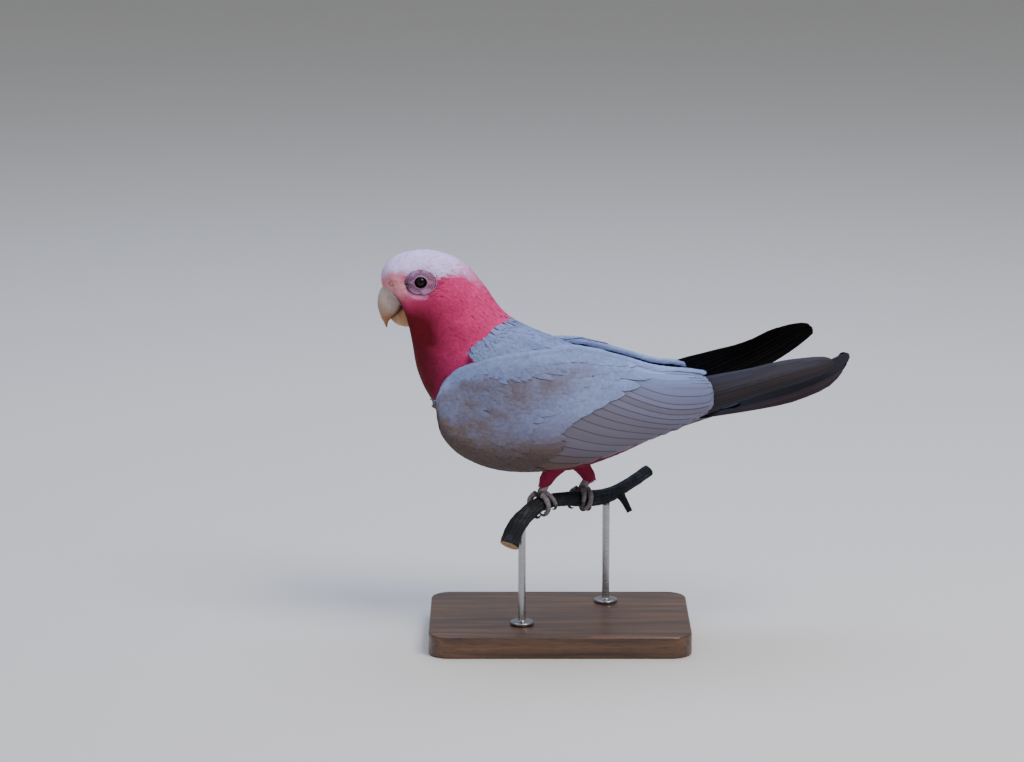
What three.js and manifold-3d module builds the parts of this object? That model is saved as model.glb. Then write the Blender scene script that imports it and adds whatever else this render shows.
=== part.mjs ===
// A life-size galah (Eolophus roseicapilla) perching on a short cut branch, on a plain display stand.
// Millimetres, +Z up. The bird faces -X, its left side is -Y; the origin lies under the middle of the stand.
// Heights in the tables of the bird and its branch are measured from PERCH_TOP, the top of the branch.
import * as THREE from "three";
import { mergeVertices } from "three/addons/utils/BufferGeometryUtils.js";
import Module from "manifold-3d";

const wasm = await Module();
wasm.setup();

// ---- driving dimensions -------------------------------------------------------------------------

const PERCH_TOP = 100; // height of the branch's top above the floor
const GAP = 0.35; // clearance between neighbouring pieces
const SLIVER = 0.02; // detail finer than this is smoothed away after a cut
const LEFT = -1; // the sign of Y on the bird's left side
const RIGHT = 1;

// Ribs of the body, from the face to the tail coverts: the upper outline's x and z, the lower outline's x
// and z, the half-width, and how far the sides are set back from the plane through the two outline points.
const BODY_RIBS = [
  [-119, 142, -101.5, 114.5, 7.5, 5],
  [-119, 151, -99, 107.5, 15, 4],
  [-113.5, 159.5, -98, 99.5, 18.5, 2.5],
  [-101, 165, -97, 91.5, 20.5, 1.5],
  [-84, 165.5, -95, 83, 21.5, 0.5],
  [-65, 158, -90, 71, 23.5, 0],
  [-51, 142.5, -81.5, 58, 27.5, 0],
  [-38, 124.5, -68, 42.5, 32, 0],
  [-20, 112, -49, 28.5, 35, 0],
  [5, 102, -24, 18.5, 36, 0],
  [32, 92, 5, 16, 34, 0],
  [60, 80, 37.5, 26.5, 28, 0],
  [85, 70.5, 68, 41, 20.5, 0],
  [107, 66, 100, 52, 12.5, 0],
  [121, 66, 118.5, 58.5, 7, 0],
];

const BODY_STEPS = 29;
const BODY_SIDES = 20;

// Where the body is parted: a point of each cut in the side view and the direction square to it.
const COLLAR_CUT = { x: -58, z: 99, toX: 0.65, toZ: -0.76 };
const NAPE_CUT = { x: -76, z: 117, toX: 0.63, toZ: -0.78 };
const CROWN_CUT = { x: -91, z: 152.5, toX: 0.19, toZ: 0.98 };
const FLANK_CUT = { x: 0, z: 55, toX: 0.2, toZ: 0.98 };

// Ribs of the folded wing's front part, from the bend of the wing to the tips of the secondaries: the upper
// edge's x and z, the lower edge's x and z, how far out each edge stands, and the extra bulge between them.
const WING_RIBS = [
  [-83, 70, -83, 65, 31, 31, 0],
  [-78, 79, -79, 48, 30, 30.5, 3],
  [-66, 88.5, -65, 33, 29, 29, 6],
  [-45, 96.5, -41, 23, 27, 26, 10.5],
  [-17, 99, -10, 22, 23, 25, 14],
  [11, 100.5, 22, 28, 18, 26.5, 15],
  [38, 95, 51.5, 40, 16, 28, 12],
  [64, 88, 78.5, 50.5, 17.5, 28, 9],
  [87, 86, 98, 62, 19, 27, 6],
  [98, 84.5, 102.5, 71, 20, 25, 4],
];
const RIGHT_WING_END = [
  [62, 88, 77, 50.5, 17.5, 28, 9],
  [77, 86, 89, 60, 19, 27, 6],
  [85, 84, 92, 71, 20, 25, 4],
]; // the right wing's last three ribs: its secondaries end sooner
const WING_CLEAR = 1.4; // least distance of the wing's inner face from the body
const WING_THICK = [3.6, 1.7]; // thickness at the bend of the wing and at the tips of the secondaries
const COVERTS_END = 0.58; // share of the front part's length that the shoulder and coverts take

// Ribs of the primaries' blade, from under the secondaries to the wing tip, in the same terms. The right
// wing's tip is carried higher than the left one's.
const LEFT_PRIMARIES = [
  [46, 72, 58, 46, 22, 25.5, 3],
  [90, 81.5, 104, 62, 18.5, 24.5, 3],
  [123, 87.5, 137, 73.5, 17, 23.5, 3],
  [149, 93.5, 162, 81, 15.5, 22, 2],
  [172, 96, 178, 87, 15, 19, 1],
  [180.5, 95, 182.5, 90.5, 15.5, 17, 0.5],
];
const RIGHT_PRIMARIES = [
  [46, 72, 58, 48, 22, 25.5, 3],
  [76, 86.5, 86, 59, 19, 24.5, 3],
  [100, 93.5, 112, 69, 18, 24, 3],
  [124, 100.5, 138, 82.5, 17, 22.5, 3],
  [145.5, 111, 156, 94, 16, 21.5, 2],
  [163.5, 114.5, 168.5, 104.5, 15.5, 19, 1],
  [169, 111.5, 171, 107.5, 16, 17.5, 0.5],
];
const BLADE_THICK = [1.7, 0.9];
const BLADE_UNDER = 2.4; // how far the blade lies inside the secondaries where they cover it

// The tail's centre line, its half-width and how far its edges droop below the middle.
const TAIL_RIBS = [
  [64, 52.5, 13, 2],
  [94, 59.5, 17, 4],
  [125, 68.5, 21, 7],
  [154, 78.5, 23.5, 10.5],
  [178, 89, 23.5, 11],
  [190, 94, 18.5, 6.5],
  [193.5, 95, 12, 2.5],
];
const TAIL_ROLL = 0.1; // the tail's left edge is carried lower by this share of its width
const TAIL_THICK = 2.2;

// Ribs of the two halves of the bill: outer edge x and z, inner edge x and z, half-width.
const UPPER_BILL = [
  [-115.5, 145, -101.5, 134.5, 7],
  [-120.5, 138, -103.4, 130, 8.2],
  [-122, 129.5, -106.6, 124.4, 7.5],
  [-120, 121.5, -111.4, 120.8, 5.2],
  [-117.8, 116.7, -114.5, 117.6, 2.8],
  [-116.3, 113.4, -115.5, 113.8, 0.8],
];
const LOWER_BILL = [
  [-98, 132.5, -98, 114.5, 6.5],
  [-104, 129.5, -103.8, 114, 6.8],
  [-109, 124.5, -109.5, 116, 5.6],
  [-113, 120.7, -113.5, 119.7, 3],
];

const EYE = { x: -92.6, z: 147.0, radius: 4.9, standsOut: 0.9 }; // standsOut: how far it passes the feathers
const EYE_RING = { long: 11.4, high: 8.6, opening: 3.6, proud: 0.3, deep: 5.4 };

// The branch: points along its middle with the radius there, as x, y, z, radius.
const BRANCH_RIBS = [
  [-34, -37, -27.5, 6.3],
  [-28, -28.5, -14.5, 6],
  [-15, -15, -5.7, 5.3],
  [0, 0.5, -5, 4.8],
  [15, 15, -8.2, 5],
  [31, 30, -10.2, 5.2],
  [46, 42.5, -5.5, 4.4],
  [62, 55, 2, 4],
];
const BRANCH_STEPS = 18;
const BRANCH_SIDES = 10;
const TWIG = { at: 0.8, length: 17, radius: 2.8, end: 2.0, out: [0.5, -0.3, -0.81] };

// Each foot's place along the branch, and its toes: the side of the branch, the place of the root and of the
// tip along the branch, the first and last angle round it from the top, the radius and the claw's length.
const FEET = { left: 0.315, right: 0.571 };
const TOES = [
  { name: "inner_front", front: 1, root: 2.3, tip: 6.0, from: 20, to: 122, radius: 2.0, claw: 6.4 },
  { name: "outer_front", front: 1, root: -2.4, tip: -6.2, from: 20, to: 164, radius: 2.25, claw: 7.4 },
  { name: "inner_back", front: -1, root: 2.2, tip: 5.4, from: 20, to: 96, radius: 1.9, claw: 5.8 },
  { name: "outer_back", front: -1, root: -2.3, tip: -1.0, from: 20, to: 150, radius: 2.1, claw: 6.8 },
];
const SOLE_HEIGHT = 2.3; // height of a foot's hub above the bark
const TARSUS = { radius: 2.7, back: 8, rise: 16 };
const THIGH = { top: [3, 12.5, 33], knee: [0, 6.5], topRadius: 11.5, endRadius: 4.6 };

const BASE = { length: 176, width: 116, height: 15, corner: 14, bevel: 1.6 };
const RODS = [0.176, 0.725]; // where the two rods meet the branch
const ROD_RADIUS = 2.5;
const ROD_FOOT = { radius: 8, height: 2 };

// ---- small tools --------------------------------------------------------------------------------

const v3 = (x, y, z) => new THREE.Vector3(x, y, z);
const mix = (a, b, t) => a + (b - a) * t;
const smooth = (t) => t * t * (3 - 2 * t);
const clamp01 = (t) => Math.min(1, Math.max(0, t));
const radians = THREE.MathUtils.degToRad;
const laterOf = (a, b, soft) => (a + b + Math.hypot(a - b, soft)) / 2; // a rounded maximum
const spread = (count) => Array.from({ length: count }, (_, i) => i / (count - 1)); // shares from 0 to 1

// The row of a table at the share u of its length, on a smooth curve through all its rows.
function along(table, u) {
  const last = table.length - 1;
  const i = Math.min(last - 1, Math.floor(clamp01(u) * last));
  const t = clamp01(u) * last - i;
  const rows = [-1, 0, 1, 2].map((k) => table[Math.min(last, Math.max(0, i + k))]);
  return table[0].map((_, column) => {
    const [p0, p1, p2, p3] = rows.map((row) => row[column]);
    const bend = 2 * p0 - 5 * p1 + 4 * p2 - p3;
    const twist = 3 * p1 - p0 - 3 * p2 + p3;
    return p1 + 0.5 * t * (p2 - p0 + t * (bend + t * twist));
  });
}

function middle(ring) {
  return ring.reduce((sum, p) => sum.add(p), v3(0, 0, 0)).multiplyScalar(1 / ring.length);
}

// The faces of a band through rings of `count` points each, numbered from the first ring on.
function bandFaces(count, rings) {
  const faces = [];
  for (let i = 0; i + 1 < rings; i++) {
    for (let j = 0; j < count; j++) {
      const [a, b, next] = [i * count, (i + 1) * count, (j + 1) % count];
      faces.push(a + j, a + next, b + next, a + j, b + next, b + j);
    }
  }
  return faces;
}

function solidFrom(points, faces) {
  const geometry = new THREE.BufferGeometry().setFromPoints(points);
  geometry.setIndex(faces);
  return solidOf(geometry);
}

// A closed surface through rings of points, all with as many points, with one more point closing each end.
function throughRings(rings, firstPole = middle(rings[0]), lastPole = middle(rings.at(-1))) {
  const count = rings[0].length;
  const faces = bandFaces(count, rings.length);
  const first = rings.length * count;
  const end = first - count;
  for (let j = 0; j < count; j++) {
    const next = (j + 1) % count;
    faces.push(first, next, j, first + 1, end + j, end + next);
  }
  return solidFrom([...rings.flat(), firstPole, lastPole], faces);
}

// A closed sheet through rings that each run out along one face and back along the other, point for point.
function throughSheetRings(rings) {
  const count = rings[0].length;
  const faces = bandFaces(count, rings.length);
  const end = (rings.length - 1) * count;
  for (let j = 0; j + 1 < count / 2; j++) {
    const [back, nearer] = [count - 1 - j, count - 2 - j];
    faces.push(j, back, j + 1, j + 1, back, nearer);
    faces.push(end + j, end + j + 1, end + back, end + j + 1, end + nearer, end + back);
  }
  return solidFrom(rings.flat(), faces);
}

// A three.js geometry as a solid for joins and cuts, with its faces pointing out.
function solidOf(geometry) {
  const bare = new THREE.BufferGeometry().setAttribute("position", geometry.getAttribute("position"));
  bare.setIndex(geometry.index);
  const merged = mergeVertices(bare, 1e-4);
  const vertProperties = merged.attributes.position.array;
  const triVerts = new Uint32Array(merged.index.array);
  const solid = new wasm.Manifold(new wasm.Mesh({ numProp: 3, vertProperties, triVerts }));
  if (solid.volume() > 0) return solid;
  for (let i = 0; i < triVerts.length; i += 3) {
    [triVerts[i + 1], triVerts[i + 2]] = [triVerts[i + 2], triVerts[i + 1]];
  }
  return new wasm.Manifold(new wasm.Mesh({ numProp: 3, vertProperties, triVerts }));
}

function placed(geometry, position, turn = new THREE.Quaternion()) {
  return solidOf(geometry.applyQuaternion(turn).translate(...position));
}

// The biggest of the separate bodies that a cut leaves, with the slivers along the cut smoothed away.
function mainBody(solid) {
  const bodies = solid.decompose();
  const biggest = bodies.reduce((best, body) => (body.volume() > best.volume() ? body : best));
  return biggest.simplify(SLIVER);
}

// A large block that fills the side of a plane, square to the XZ plane, which its direction points to.
function halfSpace({ x, z, toX, toZ }, shift = 0) {
  const size = 400;
  const direction = v3(toX, 0, toZ).normalize();
  const turn = new THREE.Quaternion().setFromUnitVectors(v3(0, 0, 1), direction);
  const centre = v3(x, 0, z + PERCH_TOP).addScaledVector(direction, shift + size / 2);
  return placed(new THREE.BoxGeometry(size, size, size), centre, turn);
}

// Both sides of a plane's cut through a solid, with the gap between them: the side it points from, then to.
function parted(solid, plane) {
  const reversed = { ...plane, toX: -plane.toX, toZ: -plane.toZ };
  return [reversed, plane].map((side) => solid.intersect(halfSpace(side, GAP / 2)));
}

// A round tube through points, with a radius for each, closed by a dome at both ends.
function tube(path, radii, sides, squash = 1) {
  const rings = path.map((point, i) => {
    const before = path[Math.max(0, i - 1)];
    const after = path[Math.min(path.length - 1, i + 1)];
    const tangent = after.clone().sub(before).normalize();
    const across = v3(0, 1, 0).cross(tangent).normalize();
    const up = tangent.clone().cross(across);
    return Array.from({ length: sides }, (_, j) => {
      const angle = (2 * Math.PI * j) / sides;
      const sideways = up.clone().multiplyScalar(radii[i] * squash * Math.sin(angle));
      return point.clone().addScaledVector(across, radii[i] * Math.cos(angle)).add(sideways);
    });
  });
  const start = path[0].clone().sub(path[1]).setLength(radii[0] * 0.5);
  const end = path.at(-1).clone().sub(path.at(-2)).setLength(radii.at(-1) * 0.5);
  return throughRings(rings, path[0].clone().add(start), path.at(-1).clone().add(end));
}

// ---- the body -----------------------------------------------------------------------------------

// A rib of the body: its middle, half-height with its direction, half-width and how far its sides lie back.
function bodyRib(u) {
  const [topX, topZ, lowX, lowZ, width, setBack] = along(BODY_RIBS, u);
  const half = Math.hypot(topX - lowX, topZ - lowZ) / 2;
  const up = { x: (topX - lowX) / (2 * half), z: (topZ - lowZ) / (2 * half) };
  return { x: (topX + lowX) / 2, z: (topZ + lowZ) / 2, half, up, width, setBack };
}

// The bird's head, neck and trunk as one closed form, grown outwards by some millimetres.
function wholeBody(grow) {
  const loops = spread(BODY_STEPS).map((u) => {
    const rib = bodyRib(u);
    return Array.from({ length: BODY_SIDES }, (_, j) => {
      const angle = (2 * Math.PI * j) / BODY_SIDES;
      const rise = (rib.half + grow) * Math.cos(angle);
      const back = rib.setBack * Math.sin(angle) ** 2;
      const x = rib.x + rib.up.x * rise + rib.up.z * back;
      const z = rib.z + rib.up.z * rise - rib.up.x * back;
      return v3(x, (rib.width + grow) * Math.sin(angle), z + PERCH_TOP);
    });
  });
  const face = middle(loops[0]).add(v3(1 - grow, 0, -0.5));
  const rear = middle(loops.at(-1)).add(v3(6 + grow, 0, 2));
  return throughRings(loops, face, rear);
}

// The body's half-width at a point of its side view.
function bodyHalfWidth(x, z) {
  let [flatX, flatZ] = [x, z]; // the point with its rib's set-back taken off
  let width = 0;
  for (let round = 0; round < 5; round++) {
    const side = (u) => {
      const [topX, topZ, lowX, lowZ] = along(BODY_RIBS, u);
      return (lowX - topX) * (flatZ - topZ) - (lowZ - topZ) * (flatX - topX);
    };
    const first = side(0);
    if (first * side(1) > 0) return 0;
    let [low, high] = [0, 1];
    for (let step = 0; step < 22; step++) {
      const u = (low + high) / 2;
      if (side(u) * first > 0) low = u;
      else high = u;
    }
    const rib = bodyRib((low + high) / 2);
    const rise = ((flatX - rib.x) * rib.up.x + (flatZ - rib.z) * rib.up.z) / rib.half;
    const bulge = Math.max(0, 1 - rise * rise); // the square of the sine of the rib's angle
    width = rib.width * Math.sqrt(bulge);
    [flatX, flatZ] = [x - rib.up.z * rib.setBack * bulge, z + rib.up.x * rib.setBack * bulge];
  }
  return width;
}

// ---- the wings and the tail ---------------------------------------------------------------------

// A part of a folded wing: a sheet between the edges of a table's ribs, thinner there. It bulges out between
// them and keeps clear of the body.
function wingSheet(table, side, { thick, inset = 0, grow = 0, columns, rows, from = 0, to = 1 }) {
  const loops = spread(columns).map((share) => {
    const s = mix(from, to, share);
    const [topX, topZ, lowX, lowZ, topOut, lowOut, bulge] = along(table, s);
    const outer = [];
    const inner = [];
    for (const t of spread(rows)) {
      const x = mix(topX, lowX, t);
      const z = mix(topZ, lowZ, t);
      const wall = mix(...thick, s) * mix(0.4, 1, Math.sqrt(4 * t * (1 - t)));
      const own = mix(topOut, lowOut, t) + bulge * 4 * t * (1 - t) - inset;
      const face = laterOf(own - wall, bodyHalfWidth(x, z) + WING_CLEAR, 2);
      outer.push(v3(x, side * (Math.max(own, face + wall) + grow), z + PERCH_TOP));
      inner.unshift(v3(x, side * (face - grow), z + PERCH_TOP));
    }
    return [...outer, ...inner];
  });
  return throughSheetRings(loops);
}

// One folded wing in three parts: the shoulder with its coverts, the secondaries and the primaries' blade.
function wing(side) {
  const ribs = side === LEFT ? WING_RIBS : [...WING_RIBS.slice(0, -3), ...RIGHT_WING_END];
  const blade = side === LEFT ? LEFT_PRIMARIES : RIGHT_PRIMARIES;
  const split = COVERTS_END + 0.003; // one gap further on
  const front = { thick: WING_THICK, rows: 7 };
  const coverts = wingSheet(ribs, side, { ...front, columns: 14, to: COVERTS_END });
  const secondaries = wingSheet(ribs, side, { ...front, columns: 9, from: split });
  const shell = wingSheet(ribs, side, { ...front, columns: 9, from: split - 0.06, grow: GAP });
  const under = { thick: BLADE_THICK, inset: BLADE_UNDER, columns: 13, rows: 5 };
  const primaries = wingSheet(blade, side, under);
  return { coverts, secondaries, primaries: mainBody(primaries.subtract(shell)) };
}

function tail(body) {
  const loops = spread(12).map((u) => {
    const [x, z, half, droop] = along(TAIL_RIBS, u);
    const wall = TAIL_THICK * mix(1, 0.6, u);
    const upper = [];
    const lower = [];
    for (const share of spread(7)) {
      const y = 2 * share - 1;
      const height = z + TAIL_ROLL * half * y - droop * y * y + PERCH_TOP;
      const back = x - 4 * y * y;
      upper.push(v3(back, half * y, height));
      lower.unshift(v3(back, half * y, height - wall * mix(0.5, 1, 1 - y * y)));
    }
    return [...upper, ...lower];
  });
  return mainBody(throughSheetRings(loops).subtract(body));
}

// ---- the head's pieces --------------------------------------------------------------------------

// Half of the bill, round through the ribs of its table.
function billHalf(table, columns, sides, grow = 0) {
  const loops = spread(columns).map((u) => {
    const [outX, outZ, inX, inZ, width] = along(table, u);
    const [x, z] = [(outX + inX) / 2, (outZ + inZ) / 2];
    const half = Math.hypot(outX - inX, outZ - inZ) / 2;
    const [dirX, dirZ] = [(outX - inX) / (2 * half), (outZ - inZ) / (2 * half)];
    return Array.from({ length: sides }, (_, j) => {
      const angle = (2 * Math.PI * j) / sides;
      const reach = (half + grow) * Math.cos(angle);
      const full = Math.sign(Math.sin(angle)) * Math.abs(Math.sin(angle)) ** 0.8;
      return v3(x + dirX * reach, (width + grow) * full, z + dirZ * reach + PERCH_TOP);
    });
  });
  return throughRings(loops);
}

// An eye's ball and its ring of bare skin, and the pocket in the head that takes them both.
function eye(side) {
  const surface = bodyHalfWidth(EYE.x, EYE.z);
  const z = EYE.z + PERCH_TOP;
  const centre = v3(EYE.x, side * (surface + EYE.standsOut - EYE.radius), z);
  const ball = (grow) => placed(new THREE.SphereGeometry(EYE.radius + grow, 12, 8), centre);
  const plug = (long, high, deep, sides) => {
    const length = deep + 12;
    const form = new THREE.CylinderGeometry(1, 1, length, sides).scale(long, 1, high);
    return form.translate(EYE.x, side * (surface - deep + length / 2), z);
  };
  const ring = solidOf(plug(EYE_RING.long, EYE_RING.high, EYE_RING.deep, 24));
  const wider = plug(EYE_RING.long + GAP, EYE_RING.high + GAP, EYE_RING.deep + GAP, 24);
  const opening = solidOf(plug(EYE_RING.opening, EYE_RING.opening, 14, 14));
  return {
    ball: ball(0),
    ring: mainBody(ring.intersect(wholeBody(EYE_RING.proud)).subtract(opening).subtract(ball(GAP))),
    pocket: solidOf(wider).add(ball(GAP)),
  };
}

// ---- the branch, legs and feet ------------------------------------------------------------------

function branchAt(share) {
  const [x, y, z, radius] = along(BRANCH_RIBS, share);
  const [before, after] = [along(BRANCH_RIBS, share - 0.01), along(BRANCH_RIBS, share + 0.01)];
  const direction = v3(after[0] - before[0], after[1] - before[1], after[2] - before[2]).normalize();
  const up = v3(0, 0, 1).addScaledVector(direction, -direction.z).normalize();
  const front = up.clone().cross(direction); // level, square to the branch, towards the bird's front
  return { at: v3(x, y, z + PERCH_TOP), direction, up, front, radius };
}

// A point over the bark: an angle round the branch from its top, a height over it and a shift along it.
function onBark(place, angle, height, shift) {
  const reach = place.radius + height;
  const around = place.up.clone().multiplyScalar(reach * Math.cos(angle));
  around.addScaledVector(place.front, reach * Math.sin(angle));
  return around.add(place.at).addScaledVector(place.direction, shift);
}

function branch(grow) {
  const rings = spread(BRANCH_STEPS).map((share, i) => {
    const place = branchAt(share);
    return Array.from({ length: BRANCH_SIDES }, (_, j) => {
      const angle = (2 * Math.PI * j) / BRANCH_SIDES;
      const lumps = 0.3 * Math.sin(2 * angle + i * 0.7) + 0.2 * Math.sin(3 * angle - i * 1.1);
      return onBark(place, angle, grow + lumps, 0);
    });
  });
  return throughRings(rings);
}

function twig() {
  const root = branchAt(TWIG.at).at;
  const out = v3(...TWIG.out).normalize();
  const path = [0, 0.4, 0.7, 1].map((t) => root.clone().addScaledVector(out, TWIG.length * t));
  return tube(path, [TWIG.radius + 1, TWIG.radius, mix(TWIG.radius, TWIG.end, 0.7), TWIG.end], 8);
}

// One toe, bent round the branch; `outward` is +1 or -1 along the branch, away from the bird's middle.
function toe(spec, place, outward, grow) {
  const path = [];
  const radii = [];
  for (const t of spread(6)) {
    const radius = mix(spec.radius, spec.radius * 0.8, t);
    const angle = radians(mix(spec.from, spec.to, t)) * spec.front;
    path.push(onBark(place, angle, radius + GAP + 0.1, -outward * mix(spec.root, spec.tip, t)));
    radii.push(radius + grow);
  }
  return tube(path, radii, 7, 0.95);
}

function claw(spec, place, outward) {
  const turn = (spec.claw / (place.radius + 2)) * (180 / Math.PI);
  const path = spread(4).map((t) => {
    const angle = radians(spec.to + 4 + (turn - 4) * t) * spec.front;
    return onBark(place, angle, 1.9 + 1.3 * Math.sin(Math.PI * t) - 1.0 * t, -outward * spec.tip);
  });
  return tube(path, [1.35, 1.15, 0.85, 0.42], 6, 0.8);
}

// A leg: the feathered thigh, the tarsus, and four toes with their claws, two to the front and two behind.
function leg(side, keepOff) {
  const place = branchAt(side === LEFT ? FEET.left : FEET.right);
  const outward = side === LEFT ? -1 : 1;
  const hub = onBark(place, 0, SOLE_HEIGHT, 0);
  const pieces = {};
  let taken = branch(GAP);
  for (const spec of TOES) {
    pieces["toe_" + spec.name] = mainBody(toe(spec, place, outward, 0).subtract(taken));
    taken = taken.add(toe(spec, place, outward, GAP));
  }
  for (const spec of TOES) {
    pieces["claw_" + spec.name] = mainBody(claw(spec, place, outward).subtract(taken));
  }
  const high = v3(THIGH.top[0], side * THIGH.top[1], THIGH.top[2] + PERCH_TOP);
  const low = v3(hub.x + THIGH.knee[0], mix(hub.y, high.y, 0.2), hub.z + THIGH.knee[1]);
  const thigh = (grow) => {
    const path = spread(5).map((t) => high.clone().lerp(low, t));
    return tube(path, spread(5).map((t) => mix(THIGH.topRadius, THIGH.endRadius, smooth(t)) + grow), 12);
  };
  const ankle = v3(hub.x + TARSUS.back, hub.y, hub.z + TARSUS.rise);
  const shankRadii = [1, 0.95, 1.15].map((k) => TARSUS.radius * k);
  const shank = tube([ankle, ankle.clone().lerp(hub, 0.5), hub], shankRadii, 8);
  pieces.thigh = mainBody(thigh(0).subtract(keepOff).subtract(taken));
  pieces.tarsus = mainBody(shank.subtract(keepOff).subtract(thigh(GAP)).subtract(taken));
  return pieces;
}

// ---- the stand ----------------------------------------------------------------------------------

function standBase() {
  const { length, width, height, corner, bevel } = BASE;
  const [x, y, round] = [length / 2 - bevel, width / 2 - bevel, corner - bevel];
  const outline = new THREE.Shape();
  outline.moveTo(x - round, -y);
  outline.absarc(x - round, -y + round, round, -Math.PI / 2, 0);
  outline.absarc(x - round, y - round, round, 0, Math.PI / 2);
  outline.absarc(-x + round, y - round, round, Math.PI / 2, Math.PI);
  outline.absarc(-x + round, -y + round, round, Math.PI, 1.5 * Math.PI);
  const board = new THREE.ExtrudeGeometry(outline, {
    depth: height - 2 * bevel,
    bevelSize: bevel,
    bevelThickness: bevel,
    bevelSegments: 2,
    curveSegments: 4,
  });
  return placed(board, v3(0, 0, bevel));
}

// An upright rod with a small round foot, from the base up to the branch.
function standRod(share, bark) {
  const top = branchAt(share).at;
  const foot = BASE.height + GAP;
  const profile = [
    [0, foot],
    [ROD_FOOT.radius, foot],
    [ROD_FOOT.radius, foot + ROD_FOOT.height * 0.6],
    [ROD_FOOT.radius - 0.8, foot + ROD_FOOT.height],
    [ROD_RADIUS, foot + ROD_FOOT.height],
    [ROD_RADIUS, top.z],
    [0, top.z],
  ];
  const turned = new THREE.LatheGeometry(profile.map(([r, z]) => new THREE.Vector2(r, z)), 16);
  const upright = new THREE.Quaternion().setFromAxisAngle(v3(1, 0, 0), Math.PI / 2);
  return mainBody(placed(turned, v3(top.x, top.y, 0), upright).subtract(bark));
}

// ---- putting it together ------------------------------------------------------------------------

const galah = new THREE.Group();

function paint(color, roughness, metalness = 0) {
  return new THREE.MeshStandardMaterial({ color, roughness, metalness });
}

const FINISHES = {
  rose: paint(0xc4526e, 0.85),
  crown: paint(0xe0b4c4, 0.85),
  grey: paint(0x9c9ba8, 0.85),
  dark: paint(0x34333b, 0.7),
  horn: paint(0xcbb8a2, 0.45),
  eye: paint(0x120c0b, 0.08),
  lid: paint(0x9a6f80, 0.7),
  foot: paint(0x6f6a70, 0.75),
  claw: paint(0x2e2a2c, 0.4),
  bark: paint(0x3d3a40, 0.9),
  walnut: paint(0x4a3428, 0.5),
  steel: paint(0x9a9a9c, 0.35, 1),
};

function add(name, solid, finish) {
  const { vertProperties, triVerts } = solid.getMesh();
  const geometry = new THREE.BufferGeometry();
  geometry.setAttribute("position", new THREE.BufferAttribute(vertProperties, 3));
  geometry.setIndex(new THREE.BufferAttribute(triVerts, 1));
  geometry.computeVertexNormals();
  const piece = new THREE.Mesh(geometry, finish);
  piece.name = name;
  galah.add(piece);
}

const sides = { left: LEFT, right: RIGHT };
const bodyGrown = wholeBody(GAP);
const eyes = { left: eye(LEFT), right: eye(RIGHT) };
const upperBillGrown = billHalf(UPPER_BILL, 14, 12, GAP);
const lowerBill = mainBody(billHalf(LOWER_BILL, 8, 12).subtract(upperBillGrown));
add("bill_upper", billHalf(UPPER_BILL, 14, 12), FINISHES.horn);
add("bill_lower", lowerBill, FINISHES.horn);

// The head, crown, neck, breast and trunk are one form, parted by thin cuts.
const bills = upperBillGrown.add(billHalf(LOWER_BILL, 8, 12, GAP));
const flesh = wholeBody(0).subtract(bills).subtract(eyes.left.pocket).subtract(eyes.right.pocket);
const [front, behindCollar] = parted(flesh, COLLAR_CUT);
const [breast, trunk] = parted(behindCollar, FLANK_CUT);
const [headWhole, neck] = parted(front, NAPE_CUT);
const [head, crest] = parted(headWhole, CROWN_CUT);
add("head", mainBody(head), FINISHES.rose);
add("crest", mainBody(crest), FINISHES.crown);
add("neck", mainBody(neck), FINISHES.rose);
add("breast", mainBody(breast), FINISHES.rose);
add("trunk", mainBody(trunk), FINISHES.grey);
add("tail", tail(bodyGrown), FINISHES.dark);

for (const [name, side] of Object.entries(sides)) {
  add("eye_" + name, eyes[name].ball, FINISHES.eye);
  add("eye_ring_" + name, eyes[name].ring, FINISHES.lid);
  const { coverts, secondaries, primaries } = wing(side);
  add(`wing_${name}_coverts`, coverts, FINISHES.grey);
  add(`wing_${name}_secondaries`, secondaries, FINISHES.grey);
  add(`wing_${name}_primaries`, primaries, FINISHES.dark);
  for (const [part, solid] of Object.entries(leg(side, bodyGrown))) {
    const finish = { thigh: FINISHES.rose, claw: FINISHES.claw }[part.split("_")[0]] ?? FINISHES.foot;
    add(part.replace(/^[a-z]+/, (word) => `${word}_${name}`), solid, finish);
  }
}

add("perch_branch", mainBody(branch(0).add(twig())), FINISHES.bark);
add("stand_base", standBase(), FINISHES.walnut);
RODS.forEach((share, i) => add(`stand_rod_${i + 1}`, standRod(share, branch(GAP)), FINISHES.steel));

export default galah;
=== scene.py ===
"""A life-size galah on a cut branch and its display stand: skin, feathers, bill, eyes, feet, bark, wood and steel.

The bird faces -X, its left side is -Y and +Z is up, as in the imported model. Sizes are in millimetres until a mesh is
made, and heights in the tables of the bird and its branch are measured from the branch's top.
"""
import logging
import math
from dataclasses import dataclass, field
from enum import Enum
from functools import partial
from typing import Callable, Mapping, Sequence

import bpy
import numpy as np
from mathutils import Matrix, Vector


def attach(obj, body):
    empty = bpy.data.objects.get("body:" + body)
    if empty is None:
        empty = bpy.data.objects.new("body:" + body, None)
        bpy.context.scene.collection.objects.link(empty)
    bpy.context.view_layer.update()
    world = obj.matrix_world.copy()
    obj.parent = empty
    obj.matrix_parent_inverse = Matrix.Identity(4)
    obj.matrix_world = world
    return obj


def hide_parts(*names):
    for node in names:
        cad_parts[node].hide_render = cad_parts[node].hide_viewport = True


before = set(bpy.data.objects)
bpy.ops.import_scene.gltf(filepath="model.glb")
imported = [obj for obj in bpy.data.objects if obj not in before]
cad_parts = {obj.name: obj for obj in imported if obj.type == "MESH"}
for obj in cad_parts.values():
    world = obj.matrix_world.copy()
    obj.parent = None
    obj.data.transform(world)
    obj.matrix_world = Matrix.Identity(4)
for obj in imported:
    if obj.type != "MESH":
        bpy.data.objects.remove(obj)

Array = np.ndarray
Chance = np.random.Generator
Table = tuple[tuple[float, ...], ...]
Pair = tuple[float, float]
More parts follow.
